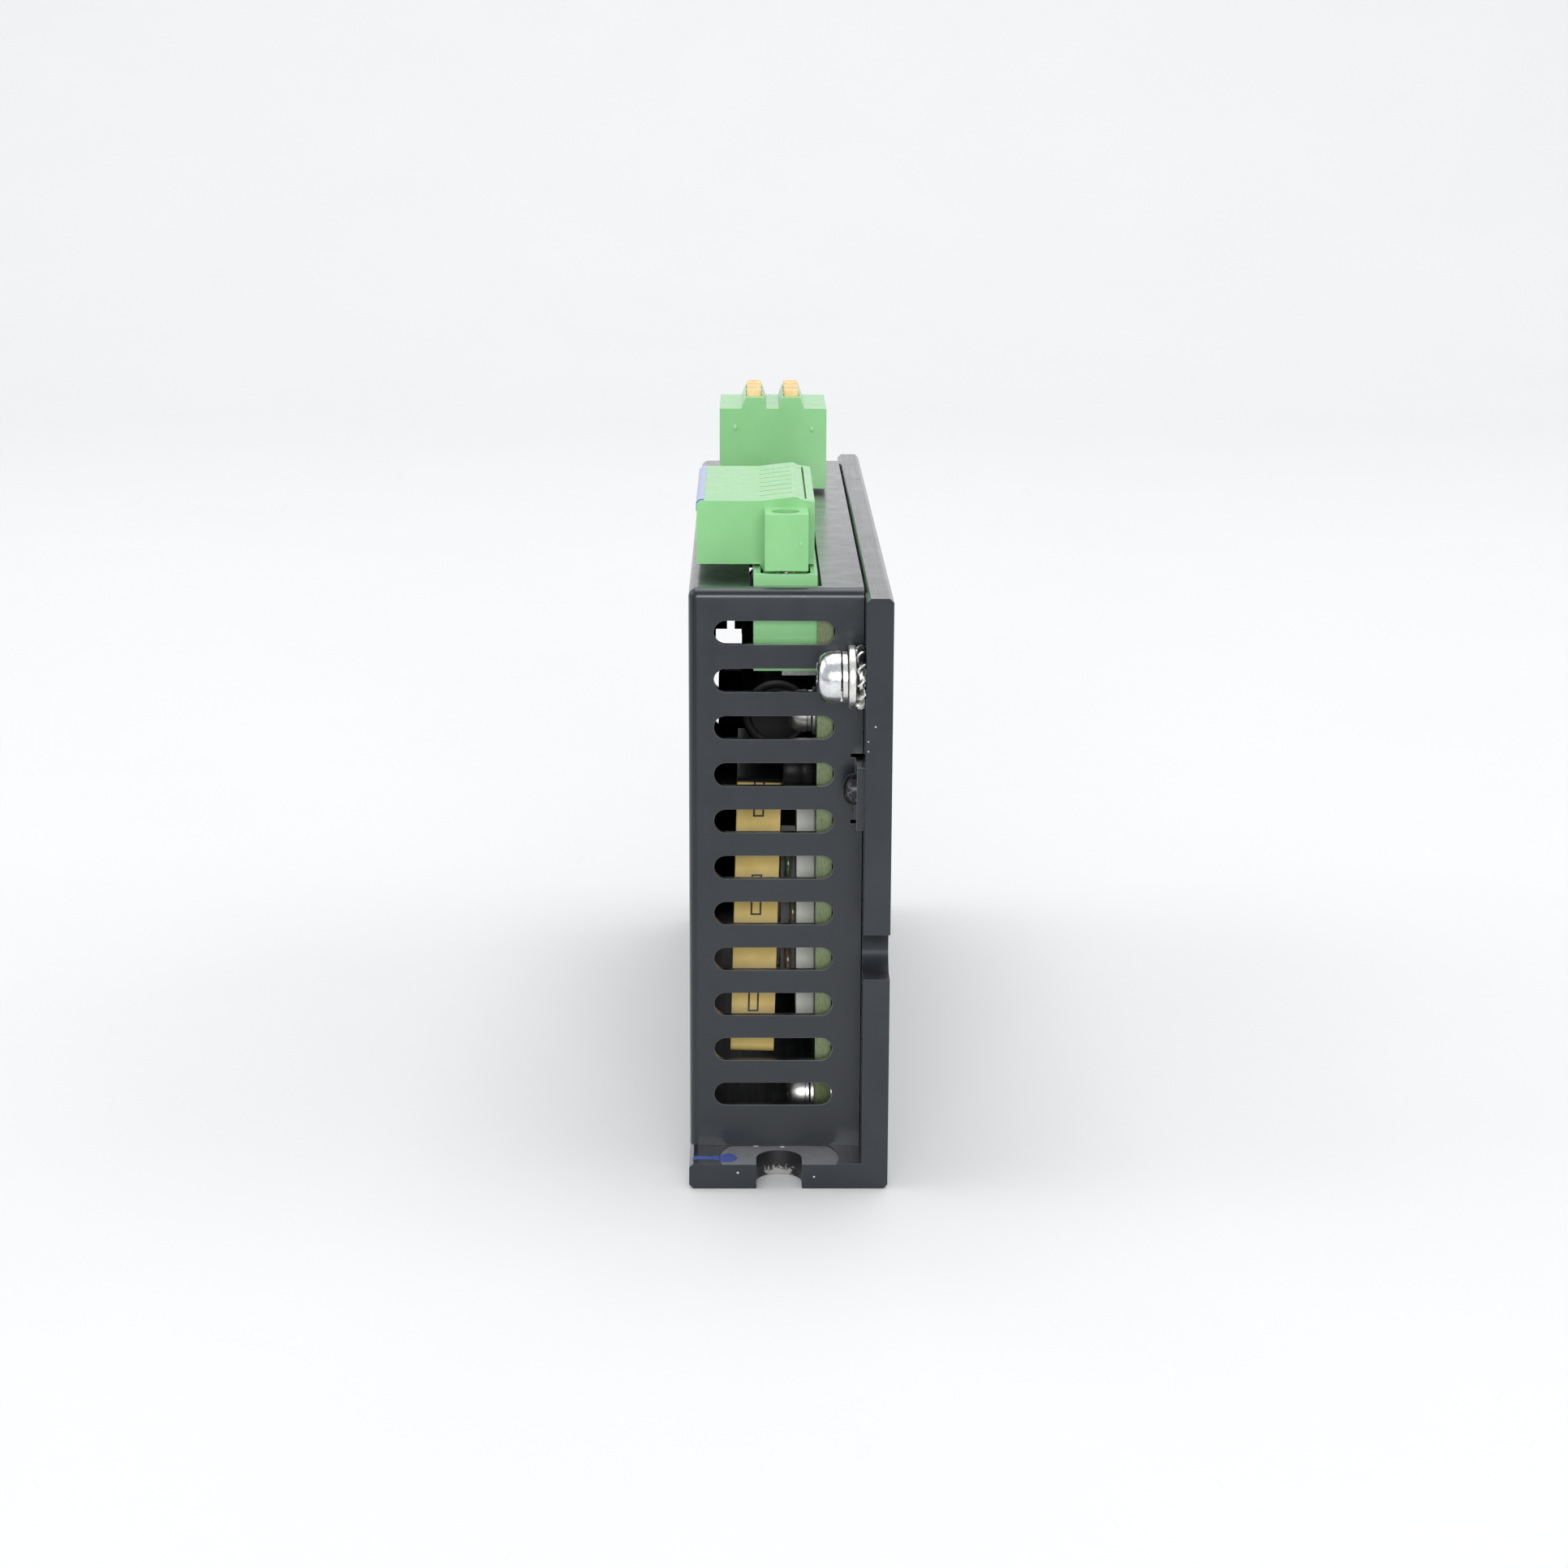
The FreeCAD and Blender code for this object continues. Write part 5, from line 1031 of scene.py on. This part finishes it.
copper = zinc("enamelled_copper", (0.72, 0.30, 0.12), 0.2)
keep(skin("choke_ring", [ring_core((23.0, 38.0), -2.95, 2.45, 8.0, 4.2, 0.5)], ferrite),
     "case", "ferrite", "choke_core")
keep(skin("choke_turns", [toroid_wire((23.0, 38.0), -3.38, 2.88, 8.42, 3.78, 0.4, 26)], copper),
     "case", "copper", "choke_winding")


# --- Power and control parts --------------------------------------------------------------------
# Moulded packages on the board: a bridge rectifier, three control chips with bent legs, and four
# power transistors pressed to the upright plate through a grey thermal pad. A ceramic fuse sits
# in two tinned clips by the bottom edge.

def leg(x_body, x_board, y, z, out, half_width, half_sheet):
    """A gull-wing leg: out of the body, down, and flat on the board, as a strip along a path."""
    path = np.array([(x_body, 0.0), (x_body, 0.35), (x_body + 0.1, 0.5), (x_board - 0.15, 0.65),
                     (x_board, 0.8), (x_board, 1.25)])
    u = np.concatenate([path[:1], path, path[-1:]])
    grow = np.ones(len(u))
    grow[[0, -1]] = 0.0
    section = np.array([(-1, -1), (1, -1), (1, 1), (-1, 1), (-1, -1)], float)
    xs = u[:, :1] + half_sheet * section[:, 0] * grow[:, None]
    ys = y + half_width * section[:, 1] * grow[:, None]
    zs = z + out * u[:, 1:] + 0 * xs
    return np.stack([xs, ys, zs], -1)


epoxy = Finish("package_epoxy", (0.014, 0.014, 0.015), 0.5)
epoxy_grain = epoxy.noise(0.25, 3.0)
epoxy.colour(epoxy.mix(epoxy.noise(2.0, 3.0), (0.011, 0.011, 0.012), (0.028, 0.028, 0.030)))
epoxy.roughness(epoxy.span(epoxy_grain, 0.3, 0.7, 0.42, 0.6))
epoxy.bump(epoxy_grain, 0.02, 0.5)
low, high = box_of("bridge_rectifier")
bridge = rounded_block(low, high - (0.01, 0.0, 0.0), 0.6, 0.4, axis=0)
keep(skin("rectifier_package", [bridge], epoxy), "case", "epoxy_black", "bridge_rectifier")
chip_places = (-12.0, 1.5, 15.0)
packages = [rounded_block((1.7, y, 14.5), (3.3, y + 10.0, 18.5), 0.25, 0.25, axis=0)
            for y in chip_places]
keep(skin("chip_packages", packages, epoxy), "case", "epoxy_black", "control_chips")
legs = []
for start in chip_places:
    for step in range(8):
        place = start + 0.55 + 1.27 * step
        legs.append(leg(2.5, 3.36, place, 18.45, 1.0, 0.2, 0.06))
        legs.append(leg(2.5, 3.36, place, 14.55, -1.0, 0.2, 0.06))
chip_legs = skin("chip_legs", legs, tin)
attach(chip_legs, "case")
transistors = [rounded_block((5.5, y, 14.0), (8.8, y + 10.0, 24.0), 0.4, 0.3, axis=0)
               for y in (-37.0, -17.0, 7.0, 27.0)]
keep(skin("transistor_packages", transistors, epoxy), "case", "epoxy_black", "power_transistors")

pad_grey = Finish("silicone_pad", (0.30, 0.31, 0.33), 0.7)
pad_grain = pad_grey.noise(0.5, 4.0)
pad_grey.colour(pad_grey.mix(pad_grain, (0.25, 0.26, 0.28), (0.36, 0.37, 0.39)))
pad_grey.bump(pad_grain, 0.03, 0.5)
low, high = box_of("thermal_pad")
pad = rounded_block(low + (0.01, 0.0, 0.0), high - (0.01, 0.0, 0.0), 1.0, 0.12, axis=0)
keep(skin("thermal_sheet", [pad], pad_grey), "case", "pad_grey", "thermal_pad")

ceramic = Finish("fuse_ceramic", (0.66, 0.64, 0.60), 0.35, Coat_Weight=0.3, Coat_Roughness=0.12)
ceramic_tone = ceramic.noise(1.5, 3.0)
from_centre = ceramic.sum("ABSOLUTE", ceramic.sum("SUBTRACT", ceramic.along("Y"), 18.0))
caps = ceramic.sum("GREATER_THAN", from_centre, 4.6)
ceramic_white = ceramic.mix(ceramic_tone, (0.60, 0.58, 0.54), (0.72, 0.70, 0.66))
ceramic.colour(ceramic.mix(caps, ceramic_white, (0.62, 0.62, 0.60)))
ceramic.feed(ceramic.shader.inputs["Metallic"], caps)
ceramic.bump(ceramic_tone, 0.02, 0.4)
fuse_line = [(8.0, 0.0), (8.0, 2.3), (8.2, 2.5), (8.5, 2.58), (13.2, 2.58), (13.4, 2.4), (22.6, 2.4),
             (22.8, 2.58), (27.5, 2.58), (27.8, 2.5), (28.0, 2.3), (28.0, 0.0)]
fuse_body = turned_piece("y", (-0.75, 9.5), fuse_line)
keep(skin("fuse_tube", [fuse_body], ceramic), "case", "fuse_ceramic", "fuse")
moulding("fuse_holders", "fuse_clips", tin, 0.1, slot="tinned")
